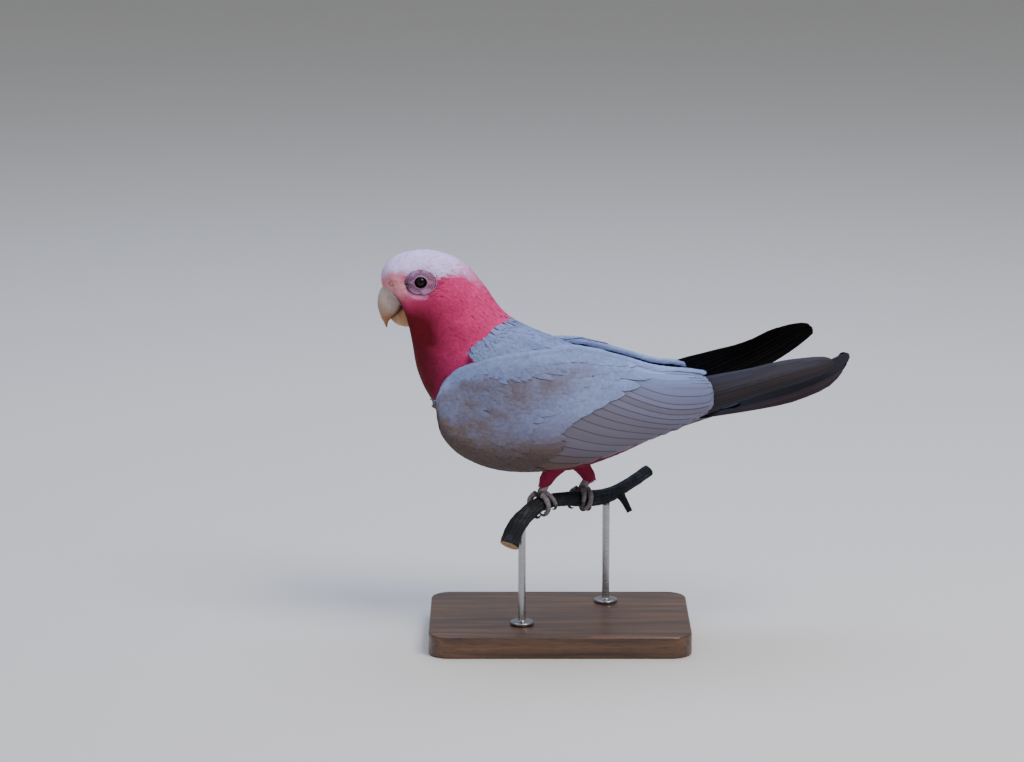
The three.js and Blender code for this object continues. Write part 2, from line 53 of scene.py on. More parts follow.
Point = tuple[float, float, float]

LOG = logging.getLogger("galah")
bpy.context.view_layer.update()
MM = 0.001
PERCH_TOP = 100.0
BODY = "root"
# the crimson, brown, pale and dark shares also hold painted shade and light
ROSE, DEEP_AND_SHADE, CROWN, CORAL, BROWN, PALE, DARK, CHANCE = range(8)  # what the markings hold, in this order


class Side(Enum):
    """A side of the bird, with the sign of Y there."""

    LEFT = -1
    RIGHT = 1

    @property
    def label(self) -> str:
        """The side's name as the model's nodes write it."""
        return self.name.lower()


# ---- small tools ----


def unit(vectors: Array) -> Array:
    """Vectors of length one in the same directions."""
    return vectors / np.maximum(np.linalg.norm(vectors, axis=-1, keepdims=True), 1e-9)


def dot(a: Array, b: Array) -> Array:
    """Dot products along the last axis."""
    return (a * b).sum(-1)


def rise(value: Array, start: float, end: float) -> Array:
    """A smooth step: 0 up to start, 1 from end on."""
    t = np.clip((value - start) / (end - start), 0, 1)
    return t * t * (3 - 2 * t)


def mix(a: Array, b: Array, t: Array) -> Array:
    """The value at share t of the way from a to b."""
    return a + (b - a) * t


def along(table: Sequence[Sequence[float]], u: Array) -> Array:
    """Rows of a table at shares u of its length, on a Catmull-Rom curve through its rows.

    Args:
        table: The rows, evenly spaced.
        u: Shares from 0 to 1, of any shape.

    Returns:
        An array of u's shape with one more axis, the table's columns.
    """
    rows = np.asarray(table, float)
    last = len(rows) - 1
    place = np.clip(np.asarray(u, float), 0, 1) * last
    index = np.minimum(last - 1, np.floor(place).astype(int))
    t = (place - index)[..., None]
    p0, p1, p2, p3 = (rows[np.clip(index + k, 0, last)] for k in (-1, 0, 1, 2))
    bend, twist = 2 * p0 - 5 * p1 + 4 * p2 - p3, 3 * p1 - p0 - 3 * p2 + p3
    return p1 + 0.5 * t * (p2 - p0 + t * (bend + t * twist))


def noise(points: Array, size: float, seed: int) -> Array:
    """Smooth value noise from -1 to 1: random numbers on a lattice of cells, blended between the corners.

    Args:
        points: Places in mm, shape (..., 3).
        size: The lattice's cell in mm.
        seed: Picks another pattern.

    Returns:
        One value per point.
    """
    place = np.asarray(points, float) / size
    base = np.floor(place).astype(np.int64)
    t = place - base
    t = t * t * (3 - 2 * t)
    total = np.zeros(place.shape[:-1])
    for corner in range(8):
        step = np.array([corner & 1, corner >> 1 & 1, corner >> 2 & 1])
        x, y, z = np.moveaxis(base + step, -1, 0)
        mixed = (x * 73856093) ^ (y * 19349663) ^ (z * 83492791) ^ (seed * 2654435761)
        mixed = ((mixed ^ (mixed >> 13)) * 1274126177) & 0xFFFFFFFF
        value = ((mixed >> 8) & 0xFFFF) / 32767.5 - 1
        total += value * np.prod(np.where(step, t, 1 - t), axis=-1)
    return total


def rib_axis(top_x: Array, top_z: Array, low_x: Array, low_z: Array) -> tuple[Array, ...]:
    """The middle of the line between two points of the side view, half its length and its direction."""
    half = np.hypot(top_x - low_x, top_z - low_z) / 2
    return (top_x + low_x) / 2, (top_z + low_z) / 2, half, (top_x - low_x) / (2 * half), (top_z - low_z) / (2 * half)


def on_map(a: Array, b: Array, margin: float = 0.01, spread: float = 0.98) -> Array:
    """Places on the bake map for coordinates a along and b round, each from 0 to 1."""
    return np.stack([margin + spread * a, margin + spread * (b % 1)], -1)


def turns(count: int) -> Array:
    """Angles evenly spaced once round, without the last."""
    return np.linspace(0, 2 * np.pi, count, endpoint=False)


def linear(hex_colour: str) -> tuple[float, float, float, float]:
    """An sRGB hex colour such as "a0b1c2" as linear red, green, blue and an alpha of 1."""
    parts = [int(hex_colour[i : i + 2], 16) / 255 for i in (0, 2, 4)]
    red, green, blue = (c / 12.92 if c <= 0.04045 else ((c + 0.055) / 1.055) ** 2.4 for c in parts)
    return red, green, blue, 1.0


# ---- meshes ----


@dataclass
class Form:
    """A mesh in the making: points in mm over the floor, faces, and what each point carries."""

    points: Array
    quads: Array
    tris: Array = field(default_factory=lambda: np.zeros((0, 3), int))
    marks: dict[str, Array] = field(default_factory=dict)
    patch: Array | None = None
    nap: Array | None = None
    finish_of_quads: Array | None = None

    def corners(self) -> Array:
        """All faces as triangles, shape (n, 3)."""
        return np.concatenate([self.quads[:, [0, 1, 2]], self.quads[:, [0, 2, 3]], self.tris])

    def outward(self) -> "Form":
        """The same closed form with its faces pointing out: the volume its faces enclose is made positive."""
        p, q, r = (self.points[self.corners()[:, k]] for k in range(3))
        if dot(p, np.cross(q, r)).sum() < 0:
            self.quads, self.tris = self.quads[:, ::-1], self.tris[:, ::-1]
        return self


def joined(forms: Sequence[Form]) -> Form:
    """Several forms as one, with what their points carry."""
    starts = np.cumsum([0] + [len(f.points) for f in forms[:-1]])
    patch, nap = (
        None if getattr(forms[0], part) is None else np.concatenate([getattr(f, part) for f in forms])
        for part in ("patch", "nap")
    )
    return Form(
        np.concatenate([f.points for f in forms]),
        np.concatenate([f.quads + s for f, s in zip(forms, starts)]),
        np.concatenate([f.tris + s for f, s in zip(forms, starts)]),
        {key: np.concatenate([f.marks[key] for f in forms]) for key in forms[0].marks},
        patch,
        nap,
    )


def grid_faces(rows: int, columns: int, rows_meet: bool = False, columns_meet: bool = False) -> Array:
    """The four-sided faces of a grid of points numbered row by row, which may close on itself either way."""
    i = np.arange(rows if rows_meet else rows - 1)[:, None]
    j = np.arange(columns if columns_meet else columns - 1)[None, :]
    below, right = (i + 1) % rows, (j + 1) % columns
    faces = [i * columns + j, below * columns + j, below * columns + right, i * columns + right]
    return np.stack(faces, -1).reshape(-1, 4)


def closed_tube(rings: Array, first: Array | None = None, last: Array | None = None) -> Form:
    """A closed form through rings of points, shape (rings, points, 3), with one more point closing each end."""
    count, sides = rings.shape[:2]
    first = rings[0].mean(0) if first is None else first
    last = rings[-1].mean(0) if last is None else last
    j, after = np.arange(sides), (np.arange(sides) + 1) % sides
    pole, end = count * sides, (count - 1) * sides
    start_fan = np.stack([np.full(sides, pole), j, after], -1)
    end_fan = np.stack([np.full(sides, pole + 1), end + after, end + j], -1)
    points = np.concatenate([rings.reshape(-1, 3), [first, last]])
    return Form(points, grid_faces(count, sides, columns_meet=True), np.concatenate([start_fan, end_fan])).outward()


def closed_sheet(upper: Array, lower: Array) -> Form:
    """A closed thin form between two grids of points of the same shape (rows, columns, 3)."""
    rings = np.concatenate([upper, lower[:, ::-1]], axis=1)
    rows, count = rings.shape[:2]
    j = np.arange(count // 2 - 1)
    cap = np.stack([j, j + 1, count - 2 - j, count - 1 - j], -1)
    end = (rows - 1) * count + cap[:, ::-1]
    quads = np.concatenate([grid_faces(rows, count, columns_meet=True), cap, end])
    return Form(rings.reshape(-1, 3), quads).outward()


def tube(path: Array, radii: Array, sides: int, reference: Array, squash: float = 1.0) -> Array:
    """Rings of points round a path: each lies square to the path, turned so that its first point looks along
    the reference direction.

    Args:
        path: Points of the middle line, shape (n, 3).
        radii: The radius at each point.
        sides: Points in a ring.
        reference: A direction that the path never runs along.
        squash: Height of the section over its width.

    Returns:
        The rings, shape (n, sides, 3).
    """
    forward = unit(np.gradient(path, axis=0))
    up = unit(np.cross(forward, reference))
    across = np.cross(up, forward)
    turn = turns(sides)[None, :, None]
    reach = np.asarray(radii, float)[:, None, None]
    return path[:, None] + reach * (across[:, None] * np.cos(turn) + squash * up[:, None] * np.sin(turn))


def mesh_of(name: str, form: Form) -> bpy.types.Mesh:
    """A Blender mesh from a form, with its attributes and its patch map."""
    mesh = bpy.data.meshes.new(name)
    quads, tris = form.quads, form.tris
    corners = np.concatenate([quads.ravel(), tris.ravel()]).astype(np.int32)
    starts = np.concatenate([np.arange(len(quads)) * 4, len(quads) * 4 + np.arange(len(tris)) * 3])
    mesh.vertices.add(len(form.points))
    mesh.vertices.foreach_set("co", (form.points * MM).astype(np.float32).ravel())
    mesh.loops.add(len(corners))
    mesh.loops.foreach_set("vertex_index", corners)
    mesh.polygons.add(len(starts))
    mesh.polygons.foreach_set("loop_start", starts.astype(np.int32))
    if form.finish_of_quads is not None:
        chosen = np.concatenate([form.finish_of_quads, np.zeros(len(tris), int)])
        mesh.polygons.foreach_set("material_index", chosen.astype(np.int32))
    mesh.update(calc_edges=True)
    mesh.shade_smooth()
    if form.nap is not None:
        square, three = form.points[quads], form.points[tris]
        flat = np.cross(square[:, 2] - square[:, 0], square[:, 3] - square[:, 1])
        flat_tris = np.cross(three[:, 1] - three[:, 0], three[:, 2] - three[:, 0])
        facing = np.concatenate([np.repeat(flat, 4, axis=0), np.repeat(flat_tris, 3, axis=0)])
        nap = form.nap[corners, :3]
        nap = np.where(dot(facing, nap)[:, None] < 0, -nap, nap)
        layer = mesh.attributes.new("custom_normal", "FLOAT_VECTOR", "CORNER")
        layer.data.foreach_set("vector", nap.astype(np.float32).ravel())
        ends = np.empty(len(mesh.edges) * 2, np.int32)
        mesh.edges.foreach_get("vertices", ends)
        sharp = (form.nap[:, 3] > 0)[ends.reshape(-1, 2)].all(axis=1)
        mesh.attributes.new("sharp_edge", "BOOLEAN", "EDGE").data.foreach_set("value", sharp)
    for key, values in form.marks.items():
        kind, member = {1: ("FLOAT", "value"), 3: ("FLOAT_VECTOR", "vector"), 4: ("FLOAT_COLOR", "color")}[
            1 if values.ndim == 1 else values.shape[1]
        ]
        layer = mesh.attributes.new(key, kind, "POINT")
        layer.data.foreach_set(member, values.astype(np.float32).ravel())
    if form.patch is not None:
        layer = mesh.uv_layers.new(name="OFBake")
        layer.data.foreach_set("uv", form.patch[corners].astype(np.float32).ravel())
    return mesh


def placed(name: str, data: bpy.types.ID) -> bpy.types.Object:
    """A new object in the scene, at its origin."""
    made = bpy.data.objects.new(name, data)
    bpy.context.scene.collection.objects.link(made)
    return made


def piece(name: str, form: Form, finish: "Finish | Sequence[Finish]", nodes: Sequence[str] = ()) -> None:
    """Makes a finished piece of the model.

    Args:
        name: The object's name.
        form: Its mesh.
        finish: Its finish, or several where its faces say which.
        nodes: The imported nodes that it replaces.
    """
    made = placed(name, mesh_of(name, form))
    for one in [finish] if isinstance(finish, Finish) else finish:
        made.data.materials.append(one.material())
    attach(made, BODY)
    if nodes:
        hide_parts(*nodes)
    LOG.info("%s: %d triangles", name, len(form.corners()))


def remeshed(forms: Sequence[Form], voxel: float, rounds: int) -> Form:
    """Overlapping closed forms as one even skin of small squares, smoothed.

    Args:
        forms: The closed forms.
        voxel: Size of the squares in mm.
        rounds: Rounds of smoothing.

    Returns:
        The one closed form round them all.
    """
    whole = placed("whole", mesh_of("whole", joined(forms)))
    remesh = whole.modifiers.new("even", "REMESH")
    remesh.mode, remesh.voxel_size = "VOXEL", voxel * MM
    even = whole.modifiers.new("smooth", "SMOOTH")
    even.iterations, even.factor = rounds, 0.5
    result = whole.evaluated_get(bpy.context.evaluated_depsgraph_get()).to_mesh()
    points = np.empty(len(result.vertices) * 3, np.float32)
    result.vertices.foreach_get("co", points)
    sizes = np.empty(len(result.polygons), np.int32)
    result.polygons.foreach_get("loop_total", sizes)
    corners = np.empty(len(result.loops), np.int32)
    result.loops.foreach_get("vertex_index", corners)
    starts = np.concatenate([[0], np.cumsum(sizes)[:-1]])
    quads = corners[starts[sizes == 4][:, None] + np.arange(4)]
    tris = corners[starts[sizes == 3][:, None] + np.arange(3)]
    mesh = whole.data
    bpy.data.objects.remove(whole)
    bpy.data.meshes.remove(mesh)
    return Form(points.reshape(-1, 3) / MM, quads.astype(int), tris.astype(int)).outward()


def normals_of(form: Form) -> Array:
    """Outward normals at a form's points: the sum of the normals of the faces that meet there."""
    corners = form.corners()
    p, q, r = (form.points[corners[:, k]] for k in range(3))
    total = np.zeros_like(form.points)
    for k in range(3):
        np.add.at(total, corners[:, k], np.cross(q - p, r - p))
    return unit(total)


# ---- surfaces and feathers ----


@dataclass(frozen=True)
class Look:
    """A surface at some places: the points, the outward normals and the two tangents, in mm."""

    point: Array
    normal: Array
    run: Array
    across: Array


class Surface:
    """A smooth surface kept as a fine grid of points and read by two coordinates."""

    def __init__(
        self,
        points: Array,
        ring: bool = False,
        outward: float = 1.0,
        run_span: Pair = (0.0, 1.0),
        across_span: Pair = (0.0, 1.0),
    ) -> None:
        """Works out the tangents and normals of the grid.

        Args:
            points: The grid, shape (rows, columns, 3).
            ring: Whether each row closes on itself.
            outward: 1 if run cross across points outwards, else -1.
            run_span: The first coordinate at the first and the last row.
            across_span: The second coordinate at the first and the last column.
        """
        rows, columns = points.shape[:2]
        self.ring, self.run_span, self.across_span = ring, run_span, across_span
        run = np.gradient(points, axis=0) * (rows - 1) / (run_span[1] - run_span[0])
        if ring:
            across = (np.roll(points, -1, 1) - np.roll(points, 1, 1)) * columns / 2
        else:
            across = np.gradient(points, axis=1) * (columns - 1) / (across_span[1] - across_span[0])
        normal = unit(np.cross(run, across)) * outward
        self.fields = np.concatenate([points, normal, run, across], axis=-1)

    @staticmethod
    def held(share: Array, margin: float = 0.035) -> Array:
        """Shares kept near the span from 0 to 1: what lies past an end is squeezed into a margin beyond it."""
        below, above = np.minimum(share, 0), np.maximum(share - 1, 0)
        return np.clip(share, 0, 1) - margin * (1 - np.exp(below / margin)) + margin * (1 - np.exp(-above / margin))

    def look(self, a: Array, b: Array) -> Look:
        """The surface at coordinates a and b, read between the grid's points; what lies past its edges is held near
        them."""
        rows, columns = self.fields.shape[:2]
        a, b = np.broadcast_arrays(np.asarray(a, float), np.asarray(b, float))
        down = self.held((a - self.run_span[0]) / (self.run_span[1] - self.run_span[0])) * (rows - 1)
        i = np.clip(np.floor(down), 0, rows - 2).astype(int)
        if self.ring:
            over = (b % 1.0) * columns
            whole = np.floor(over).astype(int)
            j, k = whole % columns, (whole + 1) % columns
            share = over - whole
        else:
            over = self.held((b - self.across_span[0]) / (self.across_span[1] - self.across_span[0])) * (columns - 1)
            j = np.clip(np.floor(over), 0, columns - 2).astype(int)
            k, share = j + 1, over - j
        s, t = (down - i)[..., None], share[..., None]
        f = self.fields
        values = mix(mix(f[i, j], f[i, k], t), mix(f[i + 1, j], f[i + 1, k], t), s)
        point, normal, run, across = np.split(values, 4, axis=-1)
        return Look(point, unit(normal), run, across)

    def rates(self, look: Look, direction: Array) -> tuple[Array, Array]:
        """How fast the two coordinates change per mm along a direction that lies in the surface, held in check where
        the two run nearly alike."""
        aa, ab, bb = dot(look.run, look.run), dot(look.run, look.across), dot(look.across, look.across)
        da, db = dot(look.run, direction), dot(look.across, direction)
        det = np.maximum(aa * bb - ab * ab, 1e-6)
        rate_a, rate_b = (bb * da - ab * db) / det, (aa * db - ab * da) / det
        hold = np.minimum(1, 1.6 / np.maximum(np.hypot(rate_a * np.sqrt(aa), rate_b * np.sqrt(bb)), 1e-9))
        return rate_a * hold, rate_b * hold

    def find(self, x: Array, z: Array, sign: float) -> tuple[Array, Array]:
        """The places that show at some points of the side view: the nearest of the grid, mended by two Newton steps.

        Args:
            x: The points' x in mm.
            z: Their height in mm.
            sign: The sign of Y on the side looked for.

        Returns:
            Both coordinates of each place.
        """
        rows, columns = self.fields.shape[:2]
        flat = self.fields.reshape(rows * columns, -1)
        far = np.where(flat[:, 1] * sign > 0, 0.0, 1e6)
        x, z = np.asarray(x, float), np.asarray(z, float)
        near = np.array([np.argmin((flat[:, 0] - p) ** 2 + (flat[:, 2] - q) ** 2 + far) for p, q in zip(x, z)])
        i, j = np.divmod(near, columns)
        a = mix(*self.run_span, i / (rows - 1))
        b = j / columns if self.ring else mix(*self.across_span, j / (columns - 1))
        for _ in range(2):
            look = self.look(a, b)
            gap_x, gap_z = x - look.point[:, 0], z - look.point[:, 2]
            det = look.run[:, 0] * look.across[:, 2] - look.across[:, 0] * look.run[:, 2]
            det = np.where(np.abs(det) < 1, 1e9, det)
            a = a + np.clip((gap_x * look.across[:, 2] - gap_z * look.across[:, 0]) / det, -0.01, 0.01)
            b = b + np.clip((gap_z * look.run[:, 0] - gap_x * look.run[:, 2]) / det, -0.02, 0.02)
        return a, b


@dataclass(frozen=True)
class Vane:
    """The outline and section that the feathers of a tract share. Stations run from the root, 0, to the tip, 1; the
    section runs from edge to edge, -1 to 1, over the top, and the underside mirrors it."""

    stations: tuple[float, ...]
    outline: tuple[float, ...]
    section: tuple[float, ...]
    ridge: tuple[float, ...]
    thickness: float
    camber: float
    flat_below: bool = False
    fray: float = 0.0
    rounding: float = 0.12

    def ring(self) -> tuple[Array, Array]:
        """The places across and the heights of the points round the section."""
        if self.flat_below:
            return np.array(self.section), np.array(self.ridge)
        across = np.array(self.section + self.section[-2:0:-1])
        height = np.array(self.ridge + tuple(-h for h in self.ridge[-2:0:-1]))
        return across, height

    def faces(self) -> tuple[Array, Array]:
        """The four-sided and three-sided faces of one feather."""
        rows = len(self.stations)
        if self.flat_below:
            end = np.array([[0, 1, 2]])
            return grid_faces(rows, 3, columns_meet=True), np.concatenate([end, (rows - 1) * 3 + end[:, ::-1]])
        count, half = len(self.section) * 2 - 2, len(self.section) - 1
        quads = [grid_faces(rows, count, columns_meet=True)]
        i = np.arange(1, half - 1)
        cap = np.stack([i, i + 1, count - i - 1, count - i], -1).reshape(-1, 4)
        ends = np.array([[0, 1, count - 1], [half - 1, half, half + 1]])
        last = (rows - 1) * count
        quads += [cap, last + cap[:, ::-1]]
        return np.concatenate(quads), np.concatenate([ends, last + ends[:, ::-1]])


@dataclass
class Tract:
    """Feathers to be laid on one surface, one row of each array per feather: the shaft's coordinates and lift at each
    station, half-widths and lengths in mm, the tilt across, the markings, and the root's place on the unwrap."""

    a: Array
    b: Array
    lift: Array
    half: Array
    length: Array
    roll: Array
    plume: Array
    patch: Array

    def only(self, chosen: Array) -> "Tract":
        """The chosen feathers."""
        return Tract(*(getattr(self, name)[chosen] for name in self.__dataclass_fields__))


def lay(
    surface: Surface, tract: Tract, vane: Vane, mirror: float = 1.0, patch_size: float = 0.003, under: float = 0.0
) -> Form:
    """Builds a tract's feathers on its surface.

    A point at share x across and station v of a feather lies on the surface at the shaft's place plus x times the
    half-width sideways, lifted along the normal by the shaft's lift, plus the tilt, less the camber times x squared,
    plus or minus the vane's thickness.

    Args:
        surface: What the feathers lie on.
        tract: The feathers.
        vane: Their outline and section.
        mirror: -1 puts the section's far edge on the other side.
        patch_size: How large each feather is on the bake map.
        under: How much darker the feathers' undersides are marked: partly their own darker grey, partly painted shade
            beneath them.

    Returns:
        All the feathers as one form of closed shells.
    """
    stations, outline = np.array(vane.stations), np.array(vane.outline)
    across, height = vane.ring()
    shaft = surface.look(tract.a, tract.b)
    slope_a, slope_b = np.gradient(tract.a, stations, axis=1), np.gradient(tract.b, stations, axis=1)
    heading = unit(shaft.run * slope_a[..., None] + shaft.across * slope_b[..., None])
    sideways = unit(np.cross(shaft.normal, heading)) * mirror
    rate_a, rate_b = surface.rates(shaft, sideways)
    half = tract.half[:, None] * outline
    shift = half[..., None] * across
    if vane.fray:
        ragged = np.random.default_rng(len(half)).normal(0, vane.fray, half.shape + (2,))
        shift = shift * (1 + np.where(across < 0, ragged[..., :1], ragged[..., 1:]))
    spot = surface.look(tract.a[..., None] + rate_a[..., None] * shift, tract.b[..., None] + rate_b[..., None] * shift)
    taper = np.minimum(1.0, 0.25 + 2.5 * outline[:, None]) * vane.thickness
    rises = tract.lift[..., None] + tract.roll[:, None, None] * shift + taper * height
    rises = rises - vane.camber * across**2 * half[..., None]
    points = spot.point + spot.normal * rises[..., None]
    feathers, rows, count = points.shape[:3]
    starts = (np.arange(feathers) * rows * count)[:, None, None]
    quads, tris = ((starts + f).reshape(-1, f.shape[1]) for f in vane.faces())
    if mirror < 0:
        quads, tris = quads[:, ::-1], tris[:, ::-1]
    shape = (feathers, rows, count)
    edge = np.maximum(np.abs(across) ** 1.5, (stations[:, None] ** 6))
    lengths = tract.length[:, None, None] * stations[:, None]
    grain = np.stack([shift, np.broadcast_to(lengths, shape), np.broadcast_to(edge, shape)], -1)
    plume = np.array(np.broadcast_to(tract.plume[:, None, None], shape + (8,)))
    # undersides darker: partly their own colour, partly painted shade
    plume[..., DARK] = np.minimum(1, plume[..., DARK] + under * (height < 0))
    plume = plume.reshape(-1, 8)
    spread = np.stack(np.broadcast_arrays(across / 2, stations[:, None] - 0.5), -1) * patch_size
    patch = tract.patch[:, None, None] + spread
    lean = vane.rounding * across - tract.roll[:, None, None] * np.ones_like(across)
    nap = spot.normal + sideways[:, :, None] * lean[..., None]
    nap = unit(nap + heading[:, :, None] * (vane.rounding * stations**4)[:, None, None])
    rim = (np.abs(across) == 1) | ((stations == 0) | (stations == 1))[:, None]
    nap = np.concatenate([nap, np.broadcast_to(rim, shape)[..., None]], axis=-1)
    marks = {"rose_marks": plume[:, :4], "grey_marks": plume[:, 4:], "vane": grain.reshape(-1, 3)}
    return Form(points.reshape(-1, 3), quads, tris, marks, patch.reshape(-1, 2), nap.reshape(-1, 4))


# ---- the bird's form ----


@dataclass(frozen=True)
class WingTable:
    """One part of a folded wing: its ribs, the thickness at its two ends and how far inside it lies. A rib holds the
    upper edge's x and z, the lower edge's x and z, how far out each edge stands and the bulge between them."""

    ribs: Table
    thick: Pair
    inset: float = 0.0


@dataclass(frozen=True)
class BirdShape:
    """The bird's form: the ribs of its body, wings and tail."""

    body_ribs: Table = (
        (-119, 142, -101.5, 114.5, 7.5, 5), (-119, 151, -99, 107.5, 15, 4), (-113.5, 159.5, -98, 99.5, 18.5, 2.5),
        (-101, 165, -97, 91.5, 20.5, 1.5), (-84, 165.5, -95, 83, 21.5, 0.5), (-65, 158, -90, 71, 23.5, 0),
        (-51, 142.5, -81.5, 58, 27.5, 0), (-38, 124.5, -68, 42.5, 32, 0), (-20, 112, -49, 28.5, 35, 0),
        (5, 102, -24, 18.5, 36, 0), (32, 92, 5, 16, 34, 0), (60, 80, 37.5, 26.5, 28, 0), (85, 70.5, 68, 41, 20.5, 0),
        (107, 66, 100, 52, 12.5, 0), (121, 66, 118.5, 58.5, 7, 0),
    )
    wing_ribs: Table = (
        (-83, 70, -83, 65, 31, 31, 0), (-78, 79, -79, 48, 30, 30.5, 3), (-66, 88.5, -65, 33, 29, 29, 6),
        (-45, 96.5, -41, 23, 27, 26, 10.5), (-17, 99, -10, 22, 23, 25, 14), (11, 100.5, 22, 28, 18, 26.5, 15),
        (38, 95, 51.5, 40, 16, 28, 12), (64, 88, 78.5, 50.5, 17.5, 28, 9), (87, 86, 98, 62, 19, 27, 6),
        (98, 84.5, 102.5, 71, 20, 25, 4),
    )
    right_wing_end: Table = (
        (62, 88, 77, 50.5, 17.5, 28, 9), (77, 86, 89, 60, 19, 27, 6), (85, 84, 92, 71, 20, 25, 4),
    )
    left_blade: Table = (
        (46, 72, 58, 46, 22, 25.5, 3), (90, 81.5, 104, 62, 18.5, 24.5, 3), (123, 87.5, 137, 73.5, 17, 23.5, 3),
        (149, 93.5, 162, 81, 15.5, 22, 2), (172, 96, 178, 87, 15, 19, 1), (180.5, 95, 182.5, 90.5, 15.5, 17, 0.5),
    )
    right_blade: Table = (
        (46, 72, 58, 48, 22, 25.5, 3), (76, 86.5, 86, 59, 19, 24.5, 3), (100, 93.5, 112, 69, 18, 24, 3),
        (124, 100.5, 138, 82.5, 17, 22.5, 3), (145.5, 111, 156, 94, 16, 21.5, 2),
        (163.5, 114.5, 168.5, 104.5, 15.5, 19, 1), (169, 111.5, 171, 107.5, 16, 17.5, 0.5),
    )
    tail_ribs: Table = (
        (64, 52.5, 13, 2), (94, 59.5, 17, 4), (125, 68.5, 21, 7), (154, 78.5, 23.5, 10.5), (178, 89, 23.5, 11),
        (190, 94, 18.5, 6.5), (193.5, 95, 12, 2.5),
    )
    tail_roll: float = 0.1
    wing_clear: float = 1.4
    wing_thick: Pair = (3.6, 1.7)
    blade_thick: Pair = (1.7, 0.9)
    blade_under: float = 2.4

    def body(self) -> Surface:
        """The body's surface. The first coordinate runs from the face to the tail coverts; the second goes once round,
        from the back's middle over the right side. A rib is an ellipse in its own plane, its sides set back."""
        u, angle = np.linspace(0, 1, 421)[:, None], turns(240)[None, :]
        return Surface(self.body_points(u, angle), ring=True)

    def body_points(self, u: Array, angle: Array) -> Array:
        """Points of the body at shares u of its length and angles round it from the back's middle."""
        *ends, width, set_back = np.moveaxis(along(self.body_ribs, u), -1, 0)
        x, z, half, up_x, up_z = rib_axis(*ends)
        climb, back = half * np.cos(angle), set_back * np.sin(angle) ** 2
        x, z = x + up_x * climb + up_z * back, z + up_z * climb - up_x * back + PERCH_TOP
        return np.stack([x, width * np.sin(angle), z], -1)

    def half_width(self, x: Array, z: Array) -> Array:
        """The body's half-width at points of its side view: the rib through a point is found by halving, and the
        rib's set-back is taken off the point in a few rounds."""
        x, z = (np.asarray(v, float) for v in (x, z))
        flat_x, flat_z = x, z - PERCH_TOP
        width = np.zeros_like(x)
        for _ in range(4):

            def side(u: Array) -> Array:
                """Which side of the rib at u the points lie on, by the sign."""
                top_x, top_z, low_x, low_z = np.moveaxis(along(self.body_ribs, u)[..., :4], -1, 0)
                return (low_x - top_x) * (flat_z - top_z) - (low_z - top_z) * (flat_x - top_x)

            low, high = np.zeros_like(x), np.ones_like(x)
            first = side(low)
            outside = first * side(high) > 0
            for _ in range(20):
                middle = (low + high) / 2
                before = side(middle) * first > 0
                low, high = np.where(before, middle, low), np.where(before, high, middle)
            *ends, wide, set_back = np.moveaxis(along(self.body_ribs, low), -1, 0)
            mid_x, mid_z, half, up_x, up_z = rib_axis(*ends)
            climb = ((flat_x - mid_x) * up_x + (flat_z - mid_z) * up_z) / half
            bulge = np.maximum(0, 1 - climb**2)
            width = np.where(outside, 0, wide * np.sqrt(bulge))
            flat_x, flat_z = x - up_z * set_back * bulge, z - PERCH_TOP + up_x * set_back * bulge
        return width

    def wing_table(self, side: Side) -> WingTable:
        """The front part of a wing, from its bend to the tips of the secondaries."""
        ribs = self.wing_ribs if side is Side.LEFT else self.wing_ribs[:-3] + self.right_wing_end
        return WingTable(ribs, self.wing_thick)

    def blade_table(self, side: Side) -> WingTable:
        """The primaries' blade of a wing."""
        return WingTable(self.left_blade if side is Side.LEFT else self.right_blade, self.blade_thick, self.blade_under)

    def wing_rib(self, table: WingTable, s: Array, t: Array) -> tuple[Array, ...]:
        """A wing part at shares s and t: x, z, how far out it stands, its thickness and how far out the body allows."""
        top_x, top_z, low_x, low_z, top_out, low_out, bulge = np.moveaxis(along(table.ribs, s), -1, 0)
        x, z = mix(top_x, low_x, t), mix(top_z, low_z, t) + PERCH_TOP
        own = mix(top_out, low_out, t) + bulge * 4 * t * (1 - t) - table.inset
        return x, z, own, mix(*table.thick, np.clip(s, 0, 1)), self.half_width(x, z) + self.wing_clear

    def wing_faces(self, table: WingTable, side: Side, s: Array, t: Array) -> tuple[Array, Array]:
        """Points of a wing part's outer and inner face, at share s of its length and t from its upper to its lower
        edge. It bulges out between its edges and keeps clear of the body by a rounded maximum of the two."""
        x, z, own, wall, clear = self.wing_rib(table, s, t)
        wall = wall * mix(0.4, 1, np.sqrt(np.maximum(0, 4 * t * (1 - t))))
        inner = own - wall
        face = (inner + clear + np.hypot(inner - clear, 2)) / 2
        outer = np.maximum(own, face + wall)
        return np.stack([x, side.value * outer, z], -1), np.stack([x, side.value * face, z], -1)

    def wing_cover(self, table: WingTable, side: Side, s: Array, t: Array) -> Array:
        """The same outer face as one smooth surface for feathers to lie on, its wall as thick at the edges."""
        x, z, own, wall, clear = self.wing_rib(table, s, t)
        clear = clear + wall * 0.9
        return np.stack([x, side.value * (own + clear + np.hypot(own - clear, 2)) / 2, z], -1)

    def tail_points(self, u: Array, share: Array) -> Array:
        """Points of the tail's upper face at share u of its length and share -1 to 1 of its half-width: the edges
        droop by the square of the share, and the left edge is carried lower."""
        x, z, half, droop = np.moveaxis(along(self.tail_ribs, u), -1, 0)
        height = z + self.tail_roll * half * share - droop * share**2 + PERCH_TOP
        return np.stack([x - 4 * share**2, half * share, height], -1)


SHAPE = BirdShape()


